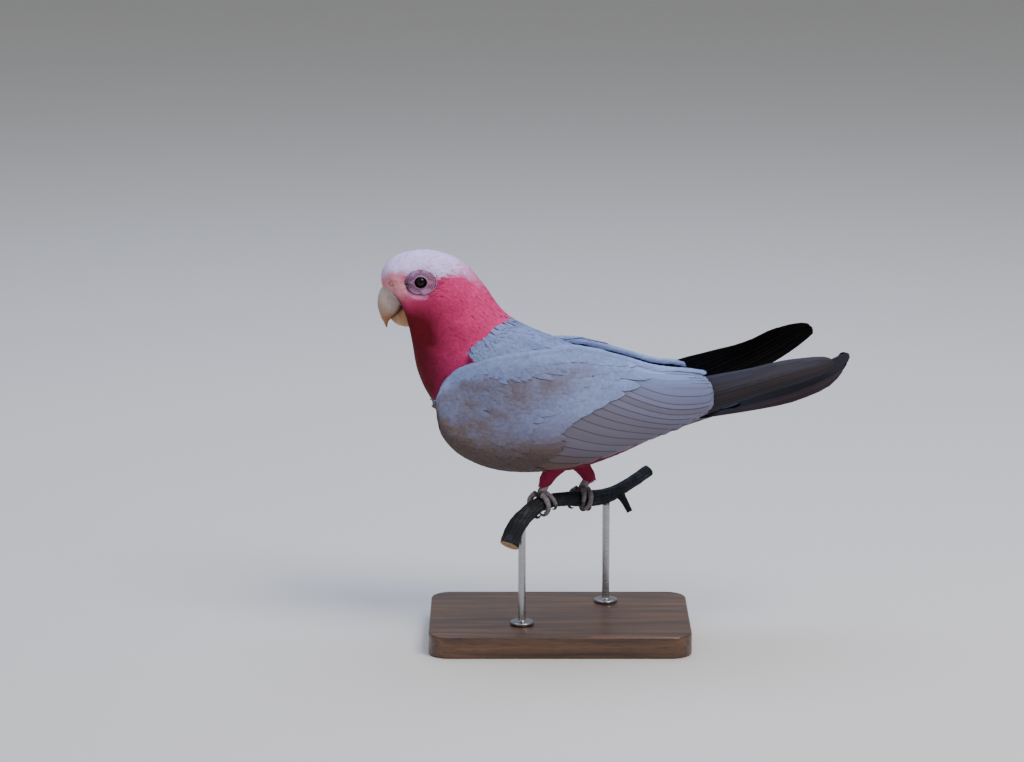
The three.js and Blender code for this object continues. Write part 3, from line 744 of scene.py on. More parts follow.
@dataclass(frozen=True)
class Oval:
    """An oval place on the head in the side view: its middle and its two half-widths."""

    x: float
    z: float
    long: float
    high: float

    def reach(self, points: Array) -> Array:
        """How far points lie out from the oval's middle in the side view: 1 on its rim."""
        return np.hypot((points[..., 0] - self.x) / self.long, (points[..., 2] - self.z) / self.high)

    def away(self, points: Array) -> Array:
        """Directions in the side view that lead straight away from the oval at some points."""
        x, z = (points[..., 0] - self.x) / self.long**2, (points[..., 2] - self.z) / self.high**2
        return unit(np.stack([x, np.zeros_like(x), z], -1))

    def place(self, side: Side, dx: Array, dz: Array, height: Array) -> Array:
        """Points at offsets from the oval's middle in the side view, at a height over the head's surface."""
        x, z = self.x + dx, self.z + dz
        return np.stack([x, side.value * (SHAPE.half_width(x, z) + height), z], -1)


EYE = Oval(-92.6, 147.0 + PERCH_TOP, 11.4, 8.6)
CERE = Oval(-112.2, 145.2 + PERCH_TOP, 2.9, 2.3)


# ---- markings ----


@dataclass(frozen=True)
class Markings:
    """Where the plumage is rose, crimson, pale pink, coral, brown, pale grey or dark, as shares from 0 to 1; the
    crimson, brown, pale and dark shares also carry painted shade and light. Skin and feathers read the same markings.
    Borders are lines in the side view."""

    crown_edge: Table = (
        (-119, 146), (-113, 151.5), (-106, 152.5), (-95, 149), (-84, 148.5), (-78, 149.5), (-70, 152), (-62, 149.5),
        (-54, 143), (-47, 137),
    )
    nape_x: float = -34.8
    nape_z: float = 120.0
    nape_toward: Pair = (-0.56, 0.829)
    flank_height: float = 55.0
    vent: Pair = (55.0, 75.0)
    seed: int = 11

    def body(self, points: Array) -> Array:
        """The markings of head, neck and body at points in mm, as an array with eight columns."""
        wobble = noise(points, 5.0, self.seed) * 1.6
        x, z = points[:, 0], points[:, 2] - PERCH_TOP + wobble
        front = self.nape_toward[0] * (x - self.nape_x) + self.nape_toward[1] * (z - self.nape_z)
        below = self.flank_height - np.where(x > 0, 0.2, 0.75) * x - z
        marks = np.zeros((len(points), 8))
        marks[:, ROSE] = np.maximum(rise(front, -1.6, 1.6), rise(below, -3, 3)) * (1 - rise(x, *self.vent))
        edge_x, edge_z = np.array(self.crown_edge).T
        fade = 1 - rise(x, -78, -46)
        crown = rise(z - np.interp(x, edge_x, edge_z), -2.5, 2.5) * fade
        beneath_eye = np.exp(-(((EYE.reach(points) - 1.14) / 0.14) ** 2)) * rise(EYE.z - points[:, 2], -1, 4)
        beneath_eye *= 1 - rise(x, -93, -84)
        marks[:, CROWN] = np.clip(crown + 0.4 * beneath_eye, 0, 1)
        ruff = 104 - 0.35 * (x + 80)
        back, low = np.maximum(x + 101, 0), np.maximum(x + 91, 0)
        # crimson on the cheeks and throat: partly the face's own deeper rose, partly painted shade under the head
        deep = 1.15 * np.exp(-((back / 28) ** 2 + ((z - 113) / 26) ** 2)) * (0.75 + 0.25 * rise(z - ruff, -3, 3))
        # painted shade: the breast's front under the throat is made crimson-dark
        deep = deep + 0.95 * np.exp(-((low / 16) ** 2 + ((z - 72) / 30) ** 2)) + 0.1 * noise(points, 8, 3)
        # less crimson under the eye; painted shade: the belly low under the wing, from x = -70 back, is made
        # crimson-dark
        deep = deep * (1 - 0.85 * beneath_eye) + 0.9 * (1 - rise(z, 44, 62)) * rise(x, -70, -50)
        # painted shade in a band 1 mm wide along the bill's root, where the face meets the bill
        gape = np.exp(-(((0.571 * (x + 112.9) + 0.82 * (z - 139.0)) / 1.0) ** 2)) * (1 - rise(x, -108, -105))
        marks[:, DEEP_AND_SHADE] = deep + 0.6 * gape
        lores = np.exp(-(((x + 111) / 8) ** 2 + ((z - 144) / 8.5) ** 4)) * (1 - 0.6 * gape)
        marks[:, CORAL] = np.clip(lores * 1.05, 0, 0.92)  # a little rose always shows through
        # painted shade: the grey low under the body, at the vent and under the tail, is made browner and darker
        lower = 1 - rise(z - (45 + 0.14 * x), -4, 6)
        # brown: a tone that differs at random, plus the painted shade below
        marks[:, BROWN] = 0.25 + 0.2 * noise(points, 12, 5) + 0.7 * lower
        marks[:, DARK] = 0.25 * lower
        # paler towards the rump, the grey's own; paler higher up: partly the paler upper back, partly painted light on
        # top
        marks[:, PALE] = (rise(x, 30, 90) * 0.8 + 0.35 * rise(z, 85, 110)) * (1 - lower)
        return np.clip(marks, 0, 1)

    def wing(self, s: Array, t: Array, points: Array) -> Array:
        """The markings of the folded wing's front part at share s along it and t down it."""
        marks = np.zeros((len(points), 8))
        blotch = noise(points, 7, 21) + 0.6 * noise(points, 3, 22)
        # browner towards the lower edge: partly the coverts' own brown mottle, partly painted shade on the wing's lower
        # half
        marks[:, BROWN] = 0.62 + 0.6 * rise(t, 0.35, 1.0) * (1 - 0.5 * rise(s, 0.5, 0.9)) + 0.35 * blotch
        marks[:, BROWN] -= 0.45 * (1 - rise(t, 0.0, 0.22)) + 0.1 * rise(s, 0.5, 0.85)
        ledge = np.exp(-(((s + 0.55 * (t - 0.5) - 0.50) / 0.1) ** 2))
        marks[:, PALE] = 0.65 * ledge * (1 - rise(t, 0.45, 0.85)) + 0.5 * (1 - rise(t, 0.0, 0.16)) + 0.1 * blotch
        marks[:, PALE] += 0.2 * rise(s, 0.52, 0.66) * rise(t, 0.6, 0.85)
        # painted shade: the wing's lower front, over the belly, is marked darker
        low_front_shade = rise(t, 0.7, 0.95) * (1 - rise(s, 0.4, 0.55))
        marks[:, DARK] = 0.12 * rise(s, 0.72, 1.0) + 0.42 * low_front_shade + 0.05 * blotch
        return np.clip(marks, 0, 1)

    def flight(self, dark: Array, brown: Array) -> Array:
        """The markings of flight feathers with the given shares of dark and brown."""
        marks = np.zeros((len(dark), 8))
        marks[:, DARK], marks[:, BROWN] = dark, brown
        return marks


MARKINGS = Markings()


# ---- finishes ----


Socket = bpy.types.NodeSocket
Add = Callable[..., Socket]


def add_node(
    tree: bpy.types.NodeTree, kind: str, *values: object, out: str = "", inputs: Mapping | None = None,
    **settings: object,
) -> Socket | None:
    """Adds a node with its settings and links.

    Args:
        tree: The node tree.
        kind: The node's type name without "ShaderNode".
        values: A value, a hex colour or a socket to link for each of the first inputs in use.
        out: The name of the output to return.
        inputs: The same as values for inputs given by name.
        settings: The node's own properties.

    Returns:
        The output, by default the first one in use, or None where the node has none.
    """
    made = tree.nodes.new(f"ShaderNode{kind}")
    for key, value in settings.items():
        setattr(made, key, value)
    used = [socket for socket in made.inputs if socket.enabled]
    named = ((made.inputs[key], value) for key, value in (inputs or {}).items())
    for socket, value in (*zip(used, values), *named):
        if isinstance(value, Socket):
            tree.links.new(value, socket)
        else:
            socket.default_value = linear(value) if isinstance(value, str) else value
    return made.outputs[out] if out else next((socket for socket in made.outputs if socket.enabled), None)


class Finish:
    """A surface finish. Each kind builds one node material, which all the pieces with that finish share."""

    name: str

    def material(self) -> bpy.types.Material:
        """The finish's material, built the first time it is asked for."""
        found = bpy.data.materials.get(self.name)
        if found:
            return found
        made = bpy.data.materials.new(self.name)
        made.use_nodes = True
        made.node_tree.nodes.clear()
        add = partial(add_node, made.node_tree)
        add("OutputMaterial", add("BsdfPrincipled", inputs=self.build(add, add("TexCoord", out="Object"))))
        return made

    def build(self, add: Add, place: Socket) -> dict[str, object]:
        """Adds the finish's nodes and returns what goes into its shader.

        Args:
            add: Adds a node to the material's tree, as add_node does.
            place: Object coordinates, in metres, so that a noise's scale is 1000 over its size in mm.
        """
        raise NotImplementedError


@dataclass(frozen=True)
class Plumage(Finish):
    """Feather keratin in soft vanes: matt, with a faint sheen, fine slanting barbs and a paler worn fringe. The hues
    are mixed by the markings that every point carries."""

    name: str = "feather_keratin_soft"
    # the plumage's own hues; deep, brown and dark also serve the markings' painted shade, and pale their painted light
    # on top
    grey: str = "7687b4"
    brown: str = "6c5c59"
    pale: str = "879cce"
    dark: str = "242026"
    rose: str = "d63a7a"
    deep: str = "5f0c1a"
    crown: str = "dcccff"
    coral: str = "e09aa4"
    barb: float = 0.55  # barbs are 0.3 mm apart; drawn twice as coarse, so that they show
    relief: float = 0.16
    fringe: float = 0.08
    roughness: float = 0.72

    def build(self, add: Add, place: Socket) -> dict[str, object]:
        """Mixes the hues, then lightens the fringe and cuts the barbs."""
        sideways, down, edge = self.grain(add)
        hue, chance = self.hue(add)
        fray = add("TexNoise", place, 900.0, 2.0)
        barbs = self.barbs(add, add("Math", sideways, operation="ABSOLUTE"), down, 0.9, fray, 1.2)
        worn = add("Math", add("MapRange", edge, 0.55, 1.0), self.fringe, operation="MULTIPLY")
        light = add("HueSaturation", inputs={"Value": 1.35, "Saturation": 0.8, "Color": hue})
        hue = add("Mix", worn, hue, light, data_type="RGBA")
        tone = add("Math", add("MapRange", chance, 0, 1, 0.95, 1.05), self.mottle(add, place), operation="MULTIPLY")
        shader = self.barbed(add, hue, tone, barbs, 0.00012)
        return shader | {"Specular IOR Level": 0.12, "Sheen Weight": 0.03, "Sheen Roughness": 0.5}

    def grain(self, add: Add) -> Sequence[Socket]:
        """How far a point lies to the side of the shaft and down it, in mm, and its nearness to the rim."""
        return add("SeparateXYZ", add("Attribute", out="Vector", attribute_name="vane")).node.outputs

    def barbs(self, add: Add, away: Socket, down: Socket, slant: float, fray: Socket, bend: float) -> Socket:
        """The barbs as a wave from -1 to 1: lines that leave the shaft at a slant and are bent by a noise."""
        line = add("Math", down, add("Math", away, slant, operation="MULTIPLY"), operation="SUBTRACT")
        bent = add("Math", fray, bend, line, operation="MULTIPLY_ADD")
        return add("Math", add("Math", bent, 2 * math.pi / self.barb, operation="MULTIPLY"), operation="SINE")

    def barbed(self, add: Add, hue: Socket, tone: Socket, barbs: Socket, depth: float) -> dict[str, object]:
        """The shader's inputs for a hue in a tone, with barbs that darken it a little and stand out by a depth."""
        value = add("Math", barbs, 0.03, tone, operation="MULTIPLY_ADD")
        toned = add("HueSaturation", inputs={"Value": value, "Color": hue})
        bump = add("Bump", inputs={"Height": barbs, "Strength": self.relief, "Distance": depth})
        return {"Base Color": toned, "Roughness": self.roughness, "Normal": bump}

    def mottle(self, add: Add, place: Socket) -> Socket:
        """The plumage's fine mottling, as a factor on its value: spots about 2 mm wide over clouds of 8 mm."""
        spots = add("MapRange", add("TexNoise", place, 480.0, 3.0), 0.3, 0.7, 0.88, 1.1)
        clouds = add("MapRange", add("TexNoise", place, 120.0, 2.0), 0.3, 0.7, 0.93, 1.07)
        return add("Math", spots, clouds, operation="MULTIPLY")

    def hue(self, add: Add) -> tuple[Socket, Socket]:
        """The colour that the markings call for, and each feather's random number."""
        rosy, greyish = (add("Attribute", attribute_name=name) for name in ("rose_marks", "grey_marks"))
        rose, deep, crown = add("SeparateColor", rosy).node.outputs
        brown, pale, dark = add("SeparateColor", greyish).node.outputs
        pink = add("Mix", deep, self.rose, self.deep, data_type="RGBA")
        hue = self.grey
        for share, colour in (
            (brown, self.brown),
            (pale, self.pale),
            (dark, self.dark),
            (rose, pink),
            (crown, self.crown),
            (rosy.node.outputs["Alpha"], self.coral),
        ):
            hue = add("Mix", share, hue, colour, data_type="RGBA")
        return hue, greyish.node.outputs["Alpha"]


@dataclass(frozen=True)
class FlightKeratin(Plumage):
    """Feather keratin in stiff flight vanes: smoother and a little glossier, with a dark shaft and a brown fringe."""

    name: str = "feather_keratin_flight"
    dark: str = "080608"
    rim: str = "6e5146"
    shaft: str = "1c191b"
    roughness: float = 0.58

    def build(self, add: Add, place: Socket) -> dict[str, object]:
        """Mixes the hues, then draws the shaft, the fringe and the barbs."""
        sideways, down, edge = self.grain(add)
        hue, chance = self.hue(add)
        away = add("Math", sideways, operation="ABSOLUTE")
        fray = add("TexNoise", place, 260.0, 3.0)
        barbs = self.barbs(add, away, down, 1.4, fray, 2.0)
        ragged = add("MapRange", fray, 0.35, 0.6, 0.3, 0.8)
        worn = add("Math", add("MapRange", edge, 0.72, 0.97), ragged, operation="MULTIPLY")
        light = add("HueSaturation", inputs={"Value": 1.25, "Saturation": 0.95, "Color": hue})
        hue = add("Mix", worn, hue, add("Mix", 0.14, light, self.rim, data_type="RGBA"), data_type="RGBA")
        hue = add("Mix", add("MapRange", away, 0.12, 0.5, 0.6, 0.0), hue, self.shaft, data_type="RGBA")
        tone = add("MapRange", chance, 0, 1, 0.88, 1.1)
        return self.barbed(add, hue, tone, barbs, 0.0001) | {"Specular IOR Level": 0.14}


@dataclass(frozen=True)
class BirdSkin(Plumage):
    """The bird's own skin with its down: matt, in the plumage's hues, a little darker."""

    name: str = "bird_skin_with_down"

    def build(self, add: Add, place: Socket) -> dict[str, object]:
        """Mixes the hues and darkens them, with fine down as bump."""
        down = add("TexNoise", place, 1400.0, 3.0)
        value = add("MapRange", down, 0.3, 0.7, 0.8, 0.95)
        toned = add("HueSaturation", inputs={"Value": value, "Color": self.hue(add)[0]})
        bump = add("Bump", inputs={"Height": down, "Strength": 0.4, "Distance": 0.0003})
        return {"Base Color": toned, "Roughness": 0.8, "Specular IOR Level": 0.25, "Normal": bump}


@dataclass(frozen=True)
class BareSkin(Finish):
    """Bare, dry bird skin as round the eye: mauve-pink, granular, with painted shade in its creases."""

    name: str = "bare_skin_mauve"
    skin: str = "ae80ae"
    # the colour of the painted shade in the creases
    crease: str = "2c1120"
    flush: str = "b0648e"

    def build(self, add: Add, place: Socket) -> dict[str, object]:
        """Paints shade into the creases that the points carry and adds fine grains."""
        crease, flush = (add("Attribute", out="Fac", attribute_name=name) for name in ("crease", "flush"))
        grains = add("TexVoronoi", place, 1500.0)
        hue = add("Mix", flush, self.skin, self.flush, data_type="RGBA")
        for share in (add("MapRange", grains, 0.3, 0.8, 0.0, 0.3), crease):
            hue = add("Mix", share, hue, self.crease, data_type="RGBA")
        bump = add("Bump", inputs={"Height": grains, "Strength": 0.5, "Distance": 0.0002}, invert=True)
        return {"Base Color": hue, "Roughness": 0.55, "Specular IOR Level": 0.4, "Normal": bump}


@dataclass(frozen=True)
class EyeGloss(Finish):
    """A wet eye: a black pupil in a very dark brown iris under a clear cornea, which gives it a hard highlight."""

    name: str = "eye_cornea_gloss"
    pupil: str = "030303"
    iris: str = "1d100b"
    rim: str = "0b0606"

    def build(self, add: Add, place: Socket) -> dict[str, object]:
        """Rings of colour by the distance from the eye's axis, which the points carry in mm."""
        ray = add("Attribute", out="Fac", attribute_name="ray")
        strands = add("MapRange", add("TexNoise", place, 1500.0, 2.0), 0.35, 0.65)
        iris = add("Mix", strands, self.iris, self.rim, data_type="RGBA")
        hue = add("Mix", add("MapRange", ray, 1.9, 2.1), self.pupil, iris, data_type="RGBA")
        hue = add("Mix", add("MapRange", ray, 3.0, 3.4), hue, self.rim, data_type="RGBA")
        return {"Base Color": hue, "Roughness": 0.05, "IOR": 1.34}


@dataclass(frozen=True)
class BillHorn(Finish):
    """Bill keratin: bone-grey at the base, ochre towards the tip, streaked along its growth and faintly flaking."""

    name: str = "bill_keratin"
    base: str = "c6bab6"
    tip: str = "97602f"
    # streaks of stain, and the painted shade along the cutting edge
    stain_and_edge_shade: str = "4a3020"
    fleck: str = "e2d8cc"

    def build(self, add: Add, place: Socket) -> dict[str, object]:
        """Runs the hue from base to tip by the share the points carry, and paints shade along the cutting edge."""
        run, edge = (add("Attribute", out="Fac", attribute_name=name) for name in ("run", "crease"))
        drawn = add("Mapping", inputs={"Vector": place, "Scale": (1.0, 1.0, 0.25)})
        streaks = add("TexNoise", drawn, 520.0, 4.0)
        blotches = add("TexNoise", place, 170.0, 3.0)
        share = add("Math", blotches, 0.35, add("Math", run, 0.17, operation="SUBTRACT"), operation="MULTIPLY_ADD")
        hue = self.base
        for factor, colour in (
            (add("MapRange", share, 0.14, 0.62), self.tip),
            (add("MapRange", streaks, 0.5, 0.75, 0.0, 0.3), self.stain_and_edge_shade),
            (add("MapRange", blotches, 0.52, 0.68, 0.0, 0.22), self.fleck),
            (edge, self.stain_and_edge_shade),
        ):
            hue = add("Mix", factor, hue, colour, data_type="RGBA")
        bump = add("Bump", inputs={"Height": streaks, "Strength": 0.25, "Distance": 0.0003})
        return {"Base Color": hue, "Roughness": 0.42, "IOR": 1.54, "Normal": bump}


@dataclass(frozen=True)
class FootSkin(Finish):
    """Scaly leg skin: dusty grey scutes with darker seams."""

    name: str = "foot_skin_scaled"
    scute: str = "8a8487"
    seam: str = "463f44"

    def build(self, add: Add, place: Socket) -> dict[str, object]:
        """Darkens the seams that the points carry and adds small scales between them."""
        crease = add("Attribute", out="Fac", attribute_name="crease")
        scales = add("TexVoronoi", place, inputs={"Scale": 1300.0}, feature="DISTANCE_TO_EDGE")
        gaps = add("MapRange", scales, 0.0, 0.12, 0.55, 0.0)
        dust = add("MapRange", add("TexNoise", place, 300.0, 3.0), 0.35, 0.7, 0.0, 0.4)
        hue = add("Mix", dust, self.scute, self.seam, data_type="RGBA")
        hue = add("Mix", add("Math", crease, gaps, operation="MAXIMUM"), hue, self.seam, data_type="RGBA")
        height = add("Math", 1.0, gaps, operation="SUBTRACT")
        bump = add("Bump", inputs={"Height": height, "Strength": 0.5, "Distance": 0.0002})
        return {"Base Color": hue, "Roughness": 0.62, "Specular IOR Level": 0.35, "Normal": bump}


@dataclass(frozen=True)
class ClawHorn(Finish):
    """Claw keratin: nearly black, semi-gloss, paler where the tip is worn."""

    name: str = "claw_keratin"
    horn: str = "2b2626"
    worn: str = "6a5b52"

    def build(self, add: Add, place: Socket) -> dict[str, object]:
        """Runs from the root's hue to the worn tip's, with fine streaks."""
        run = add("MapRange", add("Attribute", out="Fac", attribute_name="run"), 0.5, 1.1)
        streaks = add("TexNoise", place, 900.0, 3.0)
        share = add("Math", run, add("MapRange", streaks, 0.3, 0.7, 0.5, 1.0), operation="MULTIPLY")
        hue = add("Mix", share, self.horn, self.worn, data_type="RGBA")
        bump = add("Bump", inputs={"Height": streaks, "Strength": 0.2, "Distance": 0.0002})
        return {"Base Color": hue, "Roughness": 0.35, "IOR": 1.54, "Normal": bump}


@dataclass(frozen=True)
class Bark(Finish):
    """Weathered bark of a thin branch: charcoal, with a painted blue-grey highlight on its ridges and painted shade in
    its cracks.
    """

    name: str = "acacia_bark_weathered"
    # ridge: painted highlight on the raised bark; crack: painted shade in the low bark
    ridge: str = "363b43"
    bark: str = "181a1f"
    crack_shade: str = "0a0909"

    def build(self, add: Add, place: Socket) -> dict[str, object]:
        """Colours the relief that the points carry, with painted shade low and painted highlight high, and adds fine
        fissures.
        """
        relief = add("Attribute", out="Fac", attribute_name="relief")
        fine, cover = add("TexNoise", place, 700.0, 6.0), add("TexNoise", place, 120.0, 4.0)
        rough = add("Math", add("Math", fine, 0.5, operation="SUBTRACT"), 0.8, operation="MULTIPLY")
        level = add("Math", relief, rough, operation="ADD")
        # painted shade in the low relief, painted highlight in patches on the high
        hue = add("Mix", add("MapRange", level, 0.1, 0.5), self.crack_shade, self.bark, data_type="RGBA")
        high, patchy = add("MapRange", level, 0.5, 0.9), add("MapRange", cover, 0.4, 0.65)
        hue = add("Mix", add("Math", high, patchy, operation="MULTIPLY"), hue, self.ridge, data_type="RGBA")
        bump = add("Bump", inputs={"Height": fine, "Strength": 0.6, "Distance": 0.0005})
        return {"Base Color": hue, "Roughness": 0.82, "Specular IOR Level": 0.3, "Normal": bump}


@dataclass(frozen=True)
class CutWood(Finish):
    """The sawn end of a branch: pale matt wood with its darker rings."""

    name: str = "sawn_branch_end"
    wood: str = "b79a74"
    ring: str = "84653f"
    year: float = 0.8

    def build(self, add: Add, place: Socket) -> dict[str, object]:
        """Rings by the distance from the middle, which the points carry in mm, a year apart."""
        saw = add("TexNoise", place, 900.0, 3.0)
        ray = add("Math", add("Attribute", out="Fac", attribute_name="ray"), saw, operation="ADD")
        years = add("Math", add("Math", ray, 2 * math.pi / self.year, operation="MULTIPLY"), operation="SINE")
        hue = add("Mix", add("MapRange", years, -0.4, 1.0), self.wood, self.ring, data_type="RGBA")
        bump = add("Bump", inputs={"Height": saw, "Strength": 0.4, "Distance": 0.0003})
        return {"Base Color": hue, "Roughness": 0.75, "Normal": bump}


@dataclass(frozen=True)
class OiledWalnut(Finish):
    """Oiled walnut: dark brown with long grain along the board and a satin polish."""

    name: str = "walnut_oiled"
    light: str = "6b4a33"
    dark: str = "33211a"
    pore: str = "1d120e"

    def build(self, add: Add, place: Socket) -> dict[str, object]:
        """Stretches the grain along the board: 6 mm wide and 100 mm long, with pores half a millimetre wide."""
        drawn = add("Mapping", inputs={"Vector": place, "Scale": (0.06, 1.0, 1.0)})
        thin = add("Mapping", inputs={"Vector": place, "Scale": (0.05, 1.0, 1.0)})
        grain = add("TexNoise", drawn, 170.0, 5.0, inputs={"Distortion": 0.6})
        pores = add("TexNoise", thin, 1900.0, 2.0)
        hue = add("Mix", add("MapRange", grain, 0.32, 0.68), self.dark, self.light, data_type="RGBA")
        hue = add("Mix", add("MapRange", pores, 0.56, 0.7, 0.0, 0.7), hue, self.pore, data_type="RGBA")
        bump = add("Bump", inputs={"Height": pores, "Strength": 0.12, "Distance": 0.0002}, invert=True)
        return {"Base Color": hue, "Roughness": 0.38, "Coat Weight": 0.25, "Coat Roughness": 0.25, "Normal": bump}


@dataclass(frozen=True)
class BrushedSteel(Finish):
    """Brushed steel rod: bright grey metal with fine turning marks round it."""

    name: str = "steel_brushed"
    metal: str = "a7a7aa"

    def build(self, add: Add, place: Socket) -> dict[str, object]:
        """Fine bands square to the rod, half a millimetre high, drawn by bump and roughness."""
        bands = add("TexNoise", add("Mapping", inputs={"Vector": place, "Scale": (0.05, 0.05, 1.0)}), 2200.0, 3.0)
        bump = add("Bump", inputs={"Height": bands, "Strength": 0.12, "Distance": 0.0001})
        rough = add("MapRange", bands, 0.3, 0.7, 0.22, 0.4)
        return {"Base Color": self.metal, "Metallic": 1.0, "Normal": bump, "Roughness": rough}


@dataclass(frozen=True)
class StudioPaper(Finish):
    """The studio's floor: matt pale paper with a very faint mottle."""

    name: str = "studio_paper"
    paper: str = "d9d7d2"
    fleck: str = "c9c6c0"

    def build(self, add: Add, place: Socket) -> dict[str, object]:
        """Mixes the two greys by a noise 170 mm wide."""
        mottle = add("MapRange", add("TexNoise", place, 6.0, 3.0), 0.3, 0.7, 0.0, 0.06)
        return {"Base Color": add("Mix", mottle, self.paper, self.fleck, data_type="RGBA"), "Roughness": 0.9}


# ---- skin ----


@dataclass(frozen=True)
class Leg:
    """A leg's places: the foot's share along the branch, the hub over the bark, the ankle and the thigh."""

    side: Side
    share: float
    sole: float = 2.3
    tarsus_radius: float = 2.7
    ankle: Pair = (8.0, 16.0)
    thigh_top: Point = (3.0, 12.5, 33.0)
    knee_rise: float = 9.5
    knee_back: float = 3.6
    top_radius: float = 11.5
    end_radius: float = 4.7


@dataclass(frozen=True)
class BranchPlaces:
    """Places along a branch: points of its middle line, its direction, up and front there, and the radius."""

    at: Array
    direction: Array
    up: Array
    front: Array
    radius: Array

    def bark(self, angle: Array, height: Array, shift: Array) -> Array:
        """Points over the bark: an angle round from the top, a height over the bark and a shift along the branch."""
        reach = (self.radius + height)[..., None]
        out = self.up * np.cos(angle)[..., None] + self.front * np.sin(angle)[..., None]
        return self.at + out * reach + self.direction * shift[..., None]


@dataclass(frozen=True)
class BranchShape:
    """The perch: points along its middle with the radius there."""

    ribs: Table = (
        (-34, -37, -27.5, 6.3), (-28, -28.5, -14.5, 6), (-15, -15, -5.7, 5.3), (0, 0.5, -5, 4.8), (15, 15, -8.2, 5),
        (31, 30, -10.2, 5.2), (46, 42.5, -5.5, 4.4), (62, 55, 2, 4),
    )

    def places(self, share: Array) -> BranchPlaces:
        """The branch at shares of its length."""
        share = np.asarray(share, float)
        rows = along(self.ribs, share)
        direction = unit((along(self.ribs, share + 0.01) - along(self.ribs, share - 0.01))[..., :3])
        up = unit(np.array([0.0, 0.0, 1.0]) - direction * direction[..., 2:])
        at = rows[..., :3] + np.array([0.0, 0.0, PERCH_TOP])
        return BranchPlaces(at, direction, up, np.cross(up, direction), rows[..., 3])


BRANCH = BranchShape()
LEGS = (Leg(Side.LEFT, 0.315), Leg(Side.RIGHT, 0.571))


def thigh_line(leg: Leg, count: int) -> tuple[Array, Array]:
    """Points down the middle of a thigh and its radius there, a smooth taper."""
    hub = BRANCH.places(leg.share).bark(np.array(0.0), np.array(leg.sole), np.array(0.0))
    high = np.array([leg.thigh_top[0], leg.side.value * leg.thigh_top[1], leg.thigh_top[2] + PERCH_TOP])
    low = np.array([hub[0] + leg.knee_back, mix(hub[1], high[1], 0.1), hub[2] + leg.knee_rise])
    t = np.linspace(0, 1, count)
    return mix(high, low, t[:, None]), mix(leg.top_radius, leg.end_radius, rise(t, 0, 1))


def coat_depth(u: Array) -> Array:
    """The depth of the feathers over the skin, in mm, at shares u of the body's length: thin on the face."""
    return np.interp(u, (0.0, 0.02, 0.08, 0.25, 0.45, 1.0), (0.15, 0.45, 0.75, 1.1, 2.0, 2.4))


